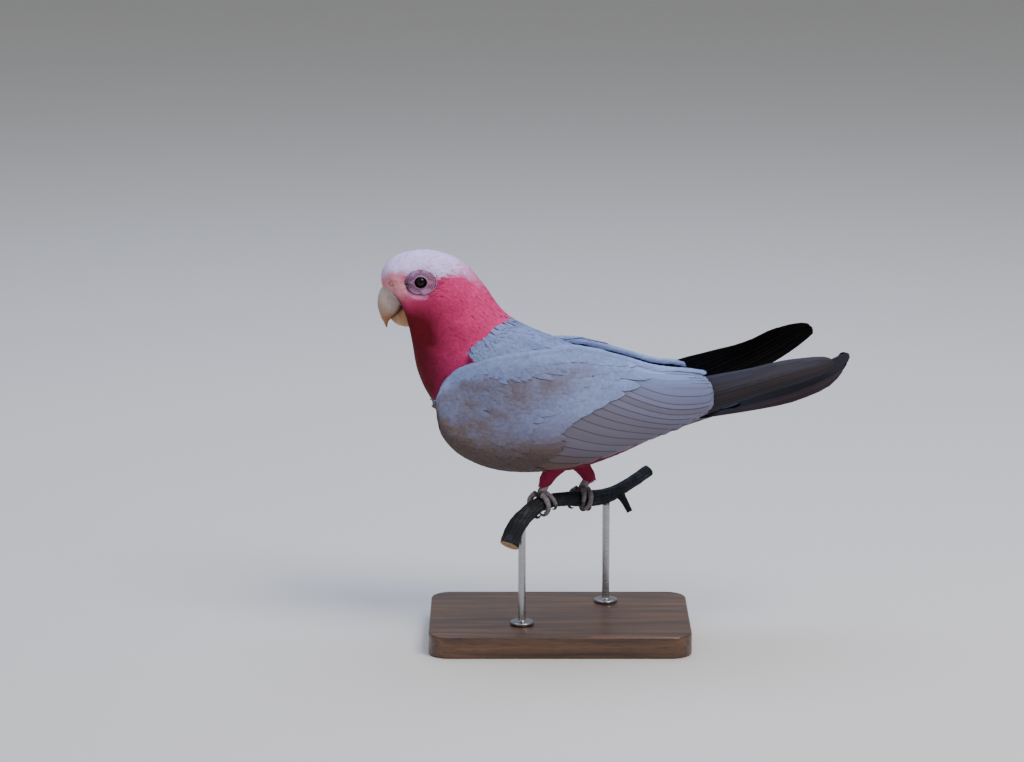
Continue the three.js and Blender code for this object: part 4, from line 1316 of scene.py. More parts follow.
@dataclass(frozen=True)
class Skin:
    """The bird's one skin: head, neck, trunk, the arms folded in the wings, and the thighs."""

    voxel: float = 1.15
    rounds: int = 3

    def build(self) -> None:
        """Joins the flesh into one closed skin, with a thin web behind each arm, and marks it as the coat is marked."""
        flesh = remeshed([self.trunk(), *map(self.arm, Side), *map(self.thigh, LEGS)], self.voxel, self.rounds)
        flesh.marks = self.marks(flesh.points, normals_of(flesh))
        web = joined([self.web(side) for side in Side])
        form = joined([flesh, web])
        nodes = ["head", "crest", "neck", "breast", "trunk", "thigh_left", "thigh_right"]
        nodes += [f"wing_{side.label}_coverts" for side in Side]
        piece("skin", form, BirdSkin(), nodes)

    def trunk(self) -> Form:
        """Head, neck and trunk, inside the feathers' surface by the coat's depth."""
        body = SHAPE.body()
        u, b = np.linspace(0, 1, 180)[:, None], np.linspace(0, 1, 120, endpoint=False)[None, :]
        look = body.look(u, b)
        rings = look.point - look.normal * coat_depth(u)[..., None]
        ends = rings[0].mean(0) + [1.5, 0, -0.5], rings[-1].mean(0) + [4.0, 0, 1.6]
        return closed_tube(rings, *ends)

    def arm(self, side: Side) -> Form:
        """The arm inside the folded wing: the space from the body out to just under the coverts."""
        s, t = np.linspace(0.04, 0.6, 40)[:, None], np.linspace(0.07, 0.9, 30)[None, :]
        outer, _ = SHAPE.wing_faces(SHAPE.wing_table(side), side, s, t)
        thin = np.minimum(1, 6 * np.minimum(s, 0.68 - s)) * np.ones_like(t)
        outer = outer - np.array([0, side.value, 0]) * (1.5 + 1.5 * (1 - thin))[..., None]
        body = SHAPE.half_width(outer[..., 0], outer[..., 2])
        reach = np.where(body > 12, np.minimum(body - 4, np.abs(outer[..., 1]) - 1), np.abs(outer[..., 1]) - 1.6)
        return closed_sheet(outer, np.stack([outer[..., 0], side.value * reach, outer[..., 2]], -1))

    def thigh(self, leg: Leg) -> Form:
        """A thigh without its feathers."""
        path, radii = thigh_line(leg, 16)
        return closed_tube(tube(path, radii - 1.6, 24, np.array([0.0, 1.0, 0.0])))

    def web(self, side: Side) -> Form:
        """The thin web of skin and down that the secondaries grow from, a sheet under them."""
        s, t = np.linspace(0.45, 0.93, 50)[:, None], np.linspace(0.1, 0.88, 24)[None, :]
        outer, inner = SHAPE.wing_faces(SHAPE.wing_table(side), side, s, t)
        middle = mix(outer, inner, 0.86)
        out = np.array([0, side.value * 0.25, 0])
        form = closed_sheet(middle + out, middle - out)
        # painted shade: the web is marked near-black, the shade under the secondaries
        marks = MARKINGS.flight(np.full(len(form.points), 0.97), np.full(len(form.points), 0.9))
        form.marks = {"rose_marks": marks[:, :4], "grey_marks": marks[:, 4:]}
        return form

    def marks(self, points: Array, normals: Array) -> dict[str, Array]:
        """The plumage's markings at the skin's points: the arms are grey outside; inside, rose at the front and black
        behind as painted shade; the thighs are rose; and the skin under the ring is black as painted shade."""
        marks = MARKINGS.body(points)
        outside = np.abs(points[:, 1]) > SHAPE.half_width(points[:, 0], points[:, 2]) + 0.6
        x, height = points[:, 0], points[:, 2] - PERCH_TOP
        arm = outside & (height > 24) & (x > -84)
        marks[arm, ROSE] = 0
        inside = arm & (normals[:, 1] * np.sign(points[:, 1]) < -0.1)
        marks[inside & (x < -30), :2] = 1, 0.6
        # painted shade: the arms' inner faces behind x = 0, in the gap between the wings and the back, are marked black
        marks[inside & (x > 0), DARK] = 1
        marks[(height < 22) & (x < 40), ROSE] = 1
        # painted shade: the skin hidden under the eye ring is marked black
        socket = EYE.reach(points) < 0.8
        marks[socket, :DARK] = 0
        marks[socket, DARK] = 1
        return {"rose_marks": marks[:, :4], "grey_marks": marks[:, 4:]}


# ---- the coat ----

TUFT = Vane(
    (0.0, 0.4, 0.75, 1.0), (0.5, 1.0, 0.8, 0.12), (-1.0, 0.0, 1.0), (0.0, 1.0, 0.0), 0.03, 0.03, True, 0.0, 0.07
)
SOFT_VANE = Vane(
    (0.0, 0.25, 0.5, 0.7, 0.87, 1.0), (0.4, 0.8, 1.0, 0.95, 0.66, 0.14), (-1.0, 0.0, 1.0), (0.0, 1.0, 0.0), 0.05,
    0.03, True, 0.05,
)
BROAD_VANE = Vane(
    (0.0, 0.2, 0.4, 0.58, 0.74, 0.87, 0.95, 1.0), (0.4, 0.78, 0.95, 1.0, 0.96, 0.8, 0.52, 0.14),
    (-1.0, -0.5, 0.0, 0.5, 1.0), (0.0, 0.7, 1.1, 0.7, 0.0),
    0.09,
    0.05,
    fray=0.035,
)
LONG_VANE = Vane(
    tuple(np.linspace(0, 1, 15)),
    (0.4, 0.58, 0.74, 0.86, 0.94, 0.98, 1.0, 1.0, 1.0, 0.98, 0.94, 0.86, 0.72, 0.48, 0.12),
    (-1.0, -0.6, -0.15, 0.0, 0.15, 0.6, 1.0), (0.0, 0.7, 0.9, 1.4, 0.9, 0.7, 0.0),
    0.12,
    0.04,
    fray=0.02,
)


def shingled(
    surface: Surface, look: Look, a: Array, b: Array, heading: Array, length: Array, vane: Vane,
    depth: Array | float, poke: Array | float, half: Array | float, patch: Array, from_tip: bool = False,
) -> Tract:
    """Feathers on straight shafts that rise from the skin to the coat's surface like shingles.

    Args:
        surface: What they lie on.
        look: The surface at the given places.
        a: First coordinate of each place.
        b: Second coordinate of each place.
        heading: Directions in the surface.
        length: Lengths in mm.
        vane: The feathers' outline, for its stations.
        depth: How deep each root lies, in mm.
        poke: How far each tip stands over the surface, in mm.
        half: Half-widths in mm.
        patch: Each root's place on the bake map.
        from_tip: Whether the places are the tips' instead of the roots'.

    Returns:
        The tract, with no markings yet.
    """
    v, none = np.array(vane.stations), np.zeros(len(a))
    depth, poke, half = (none + value for value in (depth, poke, half))
    rate_a, rate_b = surface.rates(look, heading)
    step = length[:, None] * (v - 1 if from_tip else v)
    lift = -depth[:, None] * (1 - v) ** 2.2 + poke[:, None] * v**2
    path = a[:, None] + rate_a[:, None] * step, b[:, None] + rate_b[:, None] * step, lift
    return Tract(*path, half, length, none, np.zeros((len(a), 8)), patch)


def wandering(look: Look, chance: Chance, spread: float) -> Array:
    """Headings along the surface's run, each turned a little at random."""
    heading = unit(look.run)
    return unit(heading + np.cross(look.normal, heading) * chance.normal(0, spread, len(heading))[:, None])


class CoatPart(Enum):
    """The pieces that the body's feathers are made in."""

    CROWN = 0
    FACE = 1
    NECK = 2
    BREAST = 3
    BACK = 4

    @property
    def slot(self) -> str:
        """A name for a material slot for the piece, which nothing in the script uses."""
        return {"CROWN": "crown_plumage", "BACK": "grey_plumage"}.get(self.name, "rose_plumage")


@dataclass(frozen=True)
class BodyCoat:
    """The contour feathers of head, neck and trunk, in staggered rows that overlap like shingles: fine tufts on head
    and neck, larger soft ones on the breast, and broad round ones on the back."""

    places: tuple[float, ...] = (0.0, 0.08, 0.25, 0.4, 0.52, 0.7, 1.0)
    gaps: tuple[float, ...] = (0.8, 0.95, 1.15, 1.6, 2.3, 3.4, 3.6)
    slimness: float = 0.8
    overlap: float = 4.4
    fine_until: float = 0.45
    back_gaps: tuple[float, ...] = (2.0, 2.0, 2.0, 2.0, 2.6, 3.4, 3.6)
    over_wing: float = 0.5
    vent_places: tuple[int, int] = (5, 16)
    under_wing: Pair = (-62.0, 84.0)
    mantle_span: Pair = (-62.0, 8.0)
    edge_height: float = 8.0
    seed: int = 5

    def build(self) -> None:
        """Lays the body's feathers, sorted into the coat's pieces."""
        chance = np.random.default_rng(self.seed)
        body, mantle = SHAPE.body(), self.mantle()
        a, b = self.roots(body, chance, self.gaps, self.slimness)
        look = body.look(a, b)
        keep = ~self.hidden(look.point) & (EYE.reach(look.point) > 0.9) & (CERE.reach(look.point) > 0.75)
        keep &= ~self.on_mantle(look.point)
        tract = self.tract(body, a[keep], b[keep], chance)
        parts = self.sort(tract)
        for part in list(CoatPart)[:4]:
            chosen = parts == part.value
            fine = chosen & (tract.a[:, 0] < self.fine_until)
            broad = chosen & ~fine
            split = ((fine, TUFT), (broad, SOFT_VANE))
            forms = [self.vaned(body, tract.only(some), vane) for some, vane in split if some.any()]
            piece(f"{part.name.lower()}_feathers", joined(forms), Plumage())
        self.back(body, mantle, tract.only(parts == CoatPart.BACK.value), chance)

    def vaned(self, surface: Surface, tract: Tract, vane: Vane) -> Form:
        """A tract laid with a vane, its shafts read anew at the vane's stations."""
        new, old = np.array(vane.stations), np.array(SOFT_VANE.stations)
        for name in ("a", "b", "lift"):
            rows = getattr(tract, name)
            setattr(tract, name, np.stack([np.interp(new, old, row) for row in rows]))
        return lay(surface, tract, vane)

    def roots(
        self, body: Surface, chance: Chance, gaps: Sequence[float], slimness: float
    ) -> tuple[Array, Array]:
        """Places for feathers' roots, row by row: rows lie a gap apart, and each is shifted by half a place.

        Args:
            body: The surface.
            chance: What moves each place a little.
            gaps: The gap in mm at each of the coat's places.
            slimness: How far apart the feathers in a row lie, as a share of the gap.

        Returns:
            Both coordinates of each root.
        """
        u = np.linspace(0, 1, body.fields.shape[0])
        pace = np.linalg.norm(body.fields[..., 6:9], axis=-1).mean(1)
        step = (pace / np.interp(u, self.places, gaps))[1:] * np.diff(u)
        count = np.concatenate([[0], np.cumsum(step)])
        rows = np.interp(np.arange(0.3, count[-1]), count, u)
        around = np.linspace(0, 1, 241)
        a, b = [], []
        for number, row in enumerate(rows):
            ring = body.look(np.full_like(around, row), around).point
            arc = np.concatenate([[0], np.cumsum(np.linalg.norm(np.diff(ring, axis=0), axis=1))])
            gap = float(np.interp(row, self.places, gaps))
            many = int(arc[-1] / (gap * slimness))
            where = (np.arange(many) + 0.5 * (number % 2) + chance.uniform(-0.25, 0.25, many)) / many
            b.append(np.interp((where % 1) * arc[-1], arc, around))
            here = np.linalg.norm(body.look(np.full(many, row), b[-1]).run, axis=-1)
            a.append(row + chance.uniform(-0.3, 0.3, many) * gap / here)
        return np.concatenate(a), np.concatenate(b)

    def tract(self, surface: Surface, a: Array, b: Array, chance: Chance) -> Tract:
        """Feathers rooted at some places: they lie along the body from face to tail and part round the eye."""
        look = surface.look(a, b)
        count = len(a)
        heading = wandering(look, chance, 0.1)
        out = EYE.away(look.point)
        out = unit(out - look.normal * dot(out, look.normal)[:, None])
        reach = EYE.reach(look.point)
        push = np.maximum(0, 0.1 - dot(heading, out)) * (1 - rise(reach, 1.1, 1.7)) * 1.15
        heading = unit(heading + out * push[:, None])
        gap = np.interp(a, self.places, self.gaps)
        length = np.maximum(gap * self.overlap, 3.6) * chance.uniform(0.82, 1.15, count)
        length = length * mix(0.45, 1.0, rise(reach, 1.0, 1.5))
        for _ in range(3):
            tip = EYE.reach(look.point + heading * length[:, None])
            length = np.where((tip < 0.93) & (reach < 2), length * 0.75, length)
        half = gap * np.interp(a, (0.0, 0.3, 0.5), (0.74, 0.66, 0.58)) * chance.uniform(0.85, 1.15, count)
        half = half * mix(0.6, 1.0, rise(reach, 1.0, 1.4))
        depth = coat_depth(a) * 0.7
        poke = chance.normal(0.02, 0.025, count) * depth
        patch = on_map(a, b)
        tract = shingled(surface, look, a, b, heading, length, SOFT_VANE, depth, poke, half, patch)
        tract.plume = MARKINGS.body(surface.look(tract.a[:, 3], tract.b[:, 3]).point)
        tract.plume[:, CHANCE] = chance.uniform(0, 1, count)
        return tract

    def back(self, body: Surface, mantle: Surface, rump: Tract, chance: Chance) -> None:
        """The back: soft overlapping feathers over it and the wings' upper edges, and the rump's grey feathers."""
        a, b = self.roots(mantle, chance, self.back_gaps, 0.85)
        look = mantle.look(a, b)
        keep = self.on_mantle(body.look(a, b).point)
        a, b, count = a[keep], b[keep], int(keep.sum())
        look = mantle.look(a, b)
        gap = np.interp(a, self.places, self.back_gaps)
        length = gap * 4.2 * chance.uniform(0.85, 1.12, count)
        poke = chance.normal(0.05, 0.03, count)
        depth = 1.6 + 4 * MARKINGS.body(look.point)[:, ROSE]
        patch = on_map(a, b)
        tract = shingled(mantle, look, a, b, wandering(look, chance, 0.08), length, SOFT_VANE, depth, poke, 0.0, patch)
        shown = mantle.look(tract.a[:, 4], tract.b[:, 4]).point
        plume = tract.plume = MARKINGS.body(shown)
        plume[:, ROSE] = (plume[:, ROSE] > 0.5) * rise(shown[:, 2] - PERCH_TOP, 90, 96)
        plume[:, BROWN] = np.clip(0.05 + 0.3 * noise(look.point, 16, 9), 0, 1)
        plume[:, CHANCE] = chance.uniform(0.1, 0.9, count)
        tract.half = gap * 0.64 * chance.uniform(0.88, 1.12, count)
        forms = [self.vaned(body, rump, SOFT_VANE), lay(mantle, tract, SOFT_VANE), self.vent(body, chance)]
        piece("back_feathers", joined(forms), Plumage())

    def vent(self, body: Surface, chance: Chance) -> Form:
        """The last feathers under the tail, on a cone that closes the body's end."""
        end = body.fields[-1, :, :3]
        tip = end.mean(0) + [13.0, 0.0, 1.0]
        cone = Surface(mix(end, tip, np.linspace(0, 0.9, 24)[:, None, None]), ring=True)
        rings, around = self.vent_places
        row, place = np.divmod(np.arange(rings * around), around)
        a = 0.15 * row + chance.uniform(-0.03, 0.03, len(row))
        b = (place + 0.5 * (row % 2)) / around
        look, half, length = cone.look(a, b), 2.6 - 0.35 * row, 8.0 - 0.7 * row
        patch = np.stack([np.full(len(row), 0.985), 0.01 + 0.98 * (b % 1)], -1)
        tract = shingled(cone, look, a, b, wandering(look, chance, 0.05), length, SOFT_VANE, 0.8, 0.3, half, patch)
        tract.plume = MARKINGS.body(look.point)
        tract.plume[:, CHANCE] = chance.uniform(0.2, 0.8, len(row))
        return lay(cone, tract, SOFT_VANE)

    def sort(self, tract: Tract) -> Array:
        """The coat piece that each feather belongs to, as the part's number."""
        a, plume = tract.a[:, 0], tract.plume
        parts = np.where(a < 0.2, 1, np.where(a < self.fine_until, 2, 3))
        parts = np.where((plume[:, CROWN] > 0.5) & (a < self.fine_until), 0, parts)
        return np.where((plume[:, ROSE] < 0.5) & (a > 0.5), 4, parts)

    def wing_edges(self, x: Array) -> tuple[Array, Array]:
        """Heights of the folded wing's upper and lower edge at places x, or the floor where there is no wing."""
        ribs = along(SHAPE.wing_ribs, np.linspace(0, 1, 200))
        high = np.interp(x, ribs[:, 0], ribs[:, 1], left=-PERCH_TOP, right=-PERCH_TOP)
        low = np.interp(x, ribs[:, 2], ribs[:, 3], left=-PERCH_TOP, right=-PERCH_TOP)
        return high + PERCH_TOP, low + PERCH_TOP

    def hidden(self, points: Array) -> Array:
        """Whether places on the body are deep under a folded wing."""
        high, low = self.wing_edges(points[:, 0])
        x, start, end = points[:, 0], *self.under_wing
        inside = (x > start) & (x < end) & (np.abs(points[:, 1]) > 13)
        return inside & (points[:, 2] < high - 9) & (points[:, 2] > low + self.edge_height)

    def on_mantle(self, points: Array) -> Array:
        """Whether places on the body belong to the back's tract, which lies over the wings' upper edges."""
        high, _ = self.wing_edges(points[:, 0])
        x, start, end = points[:, 0], *self.mantle_span
        grey = MARKINGS.body(points + [6.0, 0.0, -4.0])[:, ROSE] < 0.5
        return grey & (x > start) & (x < end) & (points[:, 2] > high - self.edge_height)

    def mantle(self) -> Surface:
        """The body's surface with its upper sides carried out over the wings' upper edges, by a rounded maximum of the
        body's half-width and the wing's."""
        u, angle = np.linspace(0, 1, 421)[:, None], turns(240)[None, :]
        points = SHAPE.body_points(u, angle)
        ribs = along(SHAPE.wing_ribs, np.linspace(0, 1, 200))
        x = points[..., 0]
        high, low, top_out, low_out, bulge = (np.interp(x, ribs[:, 0], ribs[:, k]) for k in (1, 3, 4, 5, 6))
        t = np.clip((high + PERCH_TOP - points[..., 2]) / (high - low), -1, 0.5)
        inside = np.maximum(t, 0)
        own = mix(top_out, low_out, inside) + bulge * 4 * inside * (1 - inside)
        mine = np.abs(points[..., 1])
        clear = mine + SHAPE.wing_clear + 2.6
        over = (own + clear + np.hypot(own - clear, 2.0)) / 2 + self.over_wing
        fade = rise(x, -80, -62) * (1 - rise(x, 0, 26)) * rise(mine, 3, 12)
        wide = mix(mine, over, fade * rise(t, -0.42, -0.03))
        points[..., 1] = np.sign(points[..., 1]) * wide
        return Surface(points, ring=True)


# ---- the wings and the tail ----

FLIGHT_VANE = Vane(
    tuple(np.linspace(0, 1, 17)),
    (0.45, 0.5, 0.58, 0.67, 0.76, 0.85, 0.92, 0.97, 1.0, 1.0, 1.0, 0.99, 0.97, 0.92, 0.82, 0.62, 0.14),
    (-1.0, -0.7, -0.4, -0.12, 0.0, 0.12, 0.4, 0.7, 1.0), (0.0, 0.6, 0.7, 0.8, 1.6, 0.8, 0.7, 0.6, 0.0),
    0.16,
    0.03,
    fray=0.012,
)


def spanned(
    surface: Surface, roots: Array, tips: Array, lifts: Pair, half: Array, roll: Array, plume: Array
) -> Tract:
    """Long feathers whose shafts run from given roots to given tips, in the surface's coordinates.

    Args:
        surface: What they lie on.
        roots: Both coordinates of each root, shape (n, 2).
        tips: Both coordinates of each tip.
        lifts: The shaft's lift in mm at the root and at the tip.
        half: Half-widths in mm.
        roll: Tilt across, as rise per mm.
        plume: The markings, shape (n, 8).

    Returns:
        The tract, with each feather's patch in a cell of its own, as it is large.
    """
    v = np.array(FLIGHT_VANE.stations)
    path = mix(roots[:, None], tips[:, None], v[None, :, None])
    a, b = path[..., 0], path[..., 1]
    points = surface.look(a, b).point
    length = np.linalg.norm(np.diff(points, axis=1), axis=-1).sum(1)
    lift = np.broadcast_to(mix(lifts[0], lifts[1], v**0.55), a.shape)
    count = len(half)
    patch = np.stack([(np.arange(count) + 0.5) / count, np.full(count, 0.5)], -1)
    return Tract(a, b, lift, half, length, roll, plume, patch)


@dataclass(frozen=True)
class WingCoat:
    """A folded wing's feathers: small and median coverts in slanting rows, greater coverts, secondaries with the
    tertials, and the primaries' blade. Places are given on the left wing and carried over to the right one."""

    side: Side
    curl: float = 2.0
    over: float = 3.0
    over_turn: float = 1.9
    front: float = 0.0165
    rim: float = 0.042
    top: float = 0.12
    covert_ends: Table = ((20, -26), (26, -10), (40, 4), (52, 3), (60, 12), (68, 27), (79, 52), (90, 70), (100, 90))
    covert_gaps: Pair = (2.1, 4.6)
    covert_heights: Pair = (18.0, 104.0)
    covert_reach: float = 150.0
    bend_x: float = -86.0
    greater_shown: float = 21.0
    greater_length: float = 36.0
    greater_half: float = 4.6
    greater: int = 14
    rim_gap: float = 2.4
    rim_rows: Table = (
        *((t, 0.93 if t < -0.02 else 0.8) for t in np.linspace(-0.015, -0.115, 6)),
        (1.01, 0.42), (1.024, 0.42), (1.038, 0.42),
    )
    scapular_rows: Table = ((0.035, 0.70, 0.35), (0.01, 0.68, 0.6), (-0.015, 0.64, 0.85), (-0.036, 0.58, 1.0))
    scapulars_per_row: int = 14
    secondary_lines: Table = (
        (-38, 33, 14, 26), (-34, 46, 32, 32.5), (-30, 60, 47, 38), (-24, 71, 60, 43.5), (-17, 79, 72, 48.5),
        (-9, 85, 83, 53.5), (-1, 90, 92, 59), (7, 93, 99, 65), (14, 95, 102, 71.5), (21, 96, 101.5, 77),
        (27, 95.5, 99, 80.5),
    )
    tertials: Table = (
        (0.56, 0.10, 0.985, 0.17), (0.53, 0.05, 0.95, 0.09), (0.50, 0.0, 0.90, 0.03), (0.46, -0.02, 0.83, -0.01),
        (0.42, -0.035, 0.74, -0.03),
    )
    secondaries_count: int = 15
    primary_lines: Table = (
        (-0.03, 0.90, 0.88, 0.88), (-0.03, 0.80, 0.97, 0.70), (-0.03, 0.66, 1.0, 0.48), (-0.03, 0.50, 0.96, 0.30),
        (-0.03, 0.36, 0.84, 0.20), (-0.03, 0.22, 0.64, 0.12), (-0.03, 0.10, 0.44, 0.07),
    )
    primaries_shown: int = 10
    # the primaries' own darkness; the right, far blade is marked darker still as painted shade
    blade_darkness_and_far_shade: Mapping[Side, float] = field(default_factory=lambda: {Side.RIGHT: 1.0, Side.LEFT: 0.86})
    seed: int = 31

    def surface(self, side: Side) -> Surface:
        """The wing's outer surface, carried on past its front, upper and lower edges by a rounded curl inwards."""
        s, t = np.linspace(-self.front, 1, 260)[:, None], np.linspace(-self.top, 1 + self.rim, 190)[None, :]
        table = SHAPE.wing_table(side)
        core = SHAPE.wing_cover(table, side, np.clip(s, 0, 1), np.clip(t, 0, 1))
        edge = unit(core[:, -1] - core[:, 0])[:, None]
        past = -s / self.front, -t / self.top, (t - 1) / self.rim
        ahead, above, beyond = ((np.clip(v, 0, 1) * np.pi / 2)[..., None] for v in past)
        above, grown = above * self.over_turn, mix(0.08, 1, rise(s, 0.0, 0.16))[..., None]
        forward, inward = np.array([-1.0, 0.0, 0.0]), np.array([0.0, -float(side.value), 0.0])
        points = core + self.curl * (forward * np.sin(ahead) + inward * (1 - np.cos(ahead)))
        points = points + self.curl * grown * (edge * np.sin(beyond) + inward * (1 - np.cos(beyond)))
        points = points + self.over * grown * (inward * (1 - np.cos(above)) - edge * np.sin(above))
        return Surface(points, False, float(side.value), (-self.front, 1.0), (-self.top, 1 + self.rim))

    def build(self) -> None:
        """Makes the wing's pieces."""
        surface, model = self.surface(self.side), self.surface(Side.LEFT)
        chance = np.random.default_rng(self.seed + self.side.value)
        label = self.side.label
        coverts = [self.small_coverts(surface, model, chance), self.rims(surface, chance)]
        coverts.append(self.greater_coverts(surface, model, chance))
        piece(f"coverts_{label}", joined(coverts), Plumage())
        piece(f"scapulars_{label}", self.scapulars(surface, chance), Plumage())
        secondaries = self.secondaries(surface, model, chance)
        piece(f"secondaries_{label}", secondaries, FlightKeratin(), [f"wing_{label}_secondaries"])
        primaries = self.primaries(chance)
        piece(f"primaries_{label}", primaries, FlightKeratin(), [f"wing_{label}_primaries"])

    def marked(self, surface: Surface, s: Array, t: Array, chance: Chance) -> Array:
        """The wing's markings at some places, with each feather's random number."""
        plume = MARKINGS.wing(s, t, surface.look(s, t).point * [1, self.side.value, 1])
        plume[:, CHANCE] = chance.uniform(0.15, 0.85, len(s))
        return plume

    def patch(self, s: Array, t: Array) -> Array:
        """Places on the bake map for shares s along the wing and t down it."""
        return np.stack([0.02 + 0.9 * np.clip(s, 0, 1), 0.1 + 0.8 * t], -1)

    def small_coverts(self, surface: Surface, model: Surface, chance: Chance) -> Form:
        """Lesser and median coverts: rows that follow the greater coverts' ends, closer and smaller towards the
        wing's bend; feathers in a row are evenly spaced in height."""
        ends = np.array(self.covert_ends, float)
        x, z, gap, reach = [], [], [], self.greater_shown
        lowest, highest = self.covert_heights
        while reach < self.covert_reach:
            pace = float(np.interp(reach, (25, 100), self.covert_gaps[::-1]))
            high = np.arange(lowest + (len(x) % 2) * 0.4 * pace, highest, pace * 0.8)
            high = high + chance.uniform(-0.2, 0.2, len(high)) * pace
            z.append(high)
            x.append(np.interp(high, ends[:, 0], ends[:, 1]) - reach + chance.uniform(-0.2, 0.2, len(high)) * pace)
            gap.append(np.full(len(high), pace))
            reach += pace
        x, z, gap = np.concatenate(x), np.concatenate(z) + PERCH_TOP, np.concatenate(gap)
        keep = x > self.bend_x
        x, z, gap = x[keep], z[keep], gap[keep]
        s, t = model.find(x, z, -1)
        found = model.look(s, t).point
        keep = np.hypot(found[:, 0] - x, found[:, 2] - z) < 1.2
        s, t, gap = s[keep], t[keep], gap[keep]
        look, count = surface.look(s, t), len(s)
        length = gap * 3.4 * chance.uniform(0.88, 1.1, count)
        room = (s + self.front) / np.maximum(surface.rates(look, unit(look.run))[0], 1e-6)
        length = np.clip(room, 1.6, length)
        poke = chance.normal(0.02, 0.03, count)
        patch = self.patch(s, t)
        heading = wandering(look, chance, 0.11)
        half = gap * 0.64 * chance.uniform(0.9, 1.12, count)
        tract = shingled(surface, look, s, t, heading, length, SOFT_VANE, 1.3, poke, half, patch, True)
        tract.plume = self.marked(surface, s, t, chance)
        return lay(surface, tract, SOFT_VANE)

    def rims(self, surface: Surface, chance: Chance) -> Form:
        """Small feathers that wrap the wing's leading edge and its upper and lower rims, in rows along them."""
        s_all, t_all = [], []
        fine = np.linspace(0.06, 1, 300)
        for number, (t, until) in enumerate(self.rim_rows):
            line = surface.look(fine, np.full_like(fine, t)).point
            arc = np.concatenate([[0], np.cumsum(np.linalg.norm(np.diff(line, axis=0), axis=1))])
            places = np.interp(np.arange(0.5 * (number % 2), arc[-1] / self.rim_gap) * self.rim_gap, arc, fine)
            places = places[places < until]
            s_all.append(places)
            t_all.append(np.full(len(places), t))
        s, t = np.concatenate(s_all), np.concatenate(t_all)
        look, count = surface.look(s, t), len(s)
        length = chance.uniform(7.5, 9.5, count)
        patch = self.patch(s, np.clip(t, 0, 1))
        heading, poke = wandering(look, chance, 0.07), chance.normal(0.0, 0.05, count)
        tract = shingled(surface, look, s, t, heading, length, BROAD_VANE, 0.8, poke, 1.7, patch)
        tract.plume = self.marked(surface, s, np.clip(t, 0, 1), chance)
        return lay(surface, tract, BROAD_VANE)

    def scapulars(self, surface: Surface, chance: Chance) -> Form:
        """The scapulars: rows of long soft feathers along the wing's upper edge, the upper rows over the lower."""
        forms = []
        for t, until, lift in self.scapular_rows:
            count = self.scapulars_per_row
            tips = np.linspace(0.24, until, count) + chance.uniform(-0.01, 0.01, count)
            share = np.linspace(0, 1, count)
            down = t + 0.03 * np.sin(np.pi * share) + chance.uniform(-0.004, 0.004, count)
            look = surface.look(tips, down)
            length = mix(15.0, 34.0, share) * chance.uniform(0.92, 1.08, count)
            patch, heading = np.stack([0.02 + 0.9 * tips, 0.15 + 0.8 * down], -1), wandering(look, chance, 0.03)
            half = mix(3.0, 4.4, share)
            tract = shingled(surface, look, tips, down, heading, length, LONG_VANE, 0.6 + lift, 0.0, half, patch, True)
            tract.b = tract.b - 0.03 * (1 - np.array(LONG_VANE.stations))
            tract.lift = tract.lift + lift
            tract.plume = self.marked(surface, tips, np.clip(down, 0, 1), chance)
            tract.plume[:, BROWN] = np.clip(0.1 + 0.35 * noise(look.point, 16, 9), 0, 1)
            tract.plume[:, PALE] = 0.55
            forms.append(lay(surface, tract, LONG_VANE, float(self.side.value)))
        return joined(forms)

    def greater_coverts(self, surface: Surface, model: Surface, chance: Chance) -> Form:
        """The greater coverts: one row of long round-ended feathers."""
        ends = np.array(self.covert_ends, float)
        z = np.linspace(24, 84, self.greater)
        s, t = model.find(np.interp(z, ends[:, 0], ends[:, 1]), z + PERCH_TOP, -1)
        look, length = surface.look(s, t), np.full(len(s), self.greater_length)
        patch = self.patch(s, t)
        heading = wandering(look, chance, 0.02)
        tract = shingled(surface, look, s, t, heading, length, LONG_VANE, 1.4, -0.1, self.greater_half, patch, True)
        tract.plume = self.marked(surface, s - 0.08, t, chance)
        tract.roll = np.full(len(s), 0.03)
        return lay(surface, tract, LONG_VANE, float(self.side.value))

    def secondaries(self, surface: Surface, model: Surface, chance: Chance) -> Form:
        """Secondaries and tertials from the lowest up: each lies over the next one below."""
        count = self.secondaries_count
        lines = along(self.secondary_lines, np.linspace(0, 1, count))
        roots = np.stack(model.find(lines[:, 0], lines[:, 1] + PERCH_TOP, -1), -1)
        tips = np.stack(model.find(lines[:, 2], lines[:, 3] + PERCH_TOP, -1), -1)
        upper = np.array(self.tertials)
        roots, tips = np.concatenate([roots, upper[:, :2]]), np.concatenate([tips, upper[:, 2:]])
        count += len(upper)
        middle = mix(roots, tips, 0.85)
        plume = self.marked(surface, middle[:, 0], middle[:, 1], chance)
        half = np.interp(np.arange(count), (0, count - 4, count - 1), (7.4, 6.4, 5.0))
        tract = spanned(surface, roots, tips, (-1.7, -0.7), half, np.full(count, 0.05), plume)
        # undersides marked 0.95 darker: partly their own dark grey, partly painted shade where the far wing's inner
        # face shows
        return lay(surface, tract, FLIGHT_VANE, float(self.side.value), 0.06, 0.95)

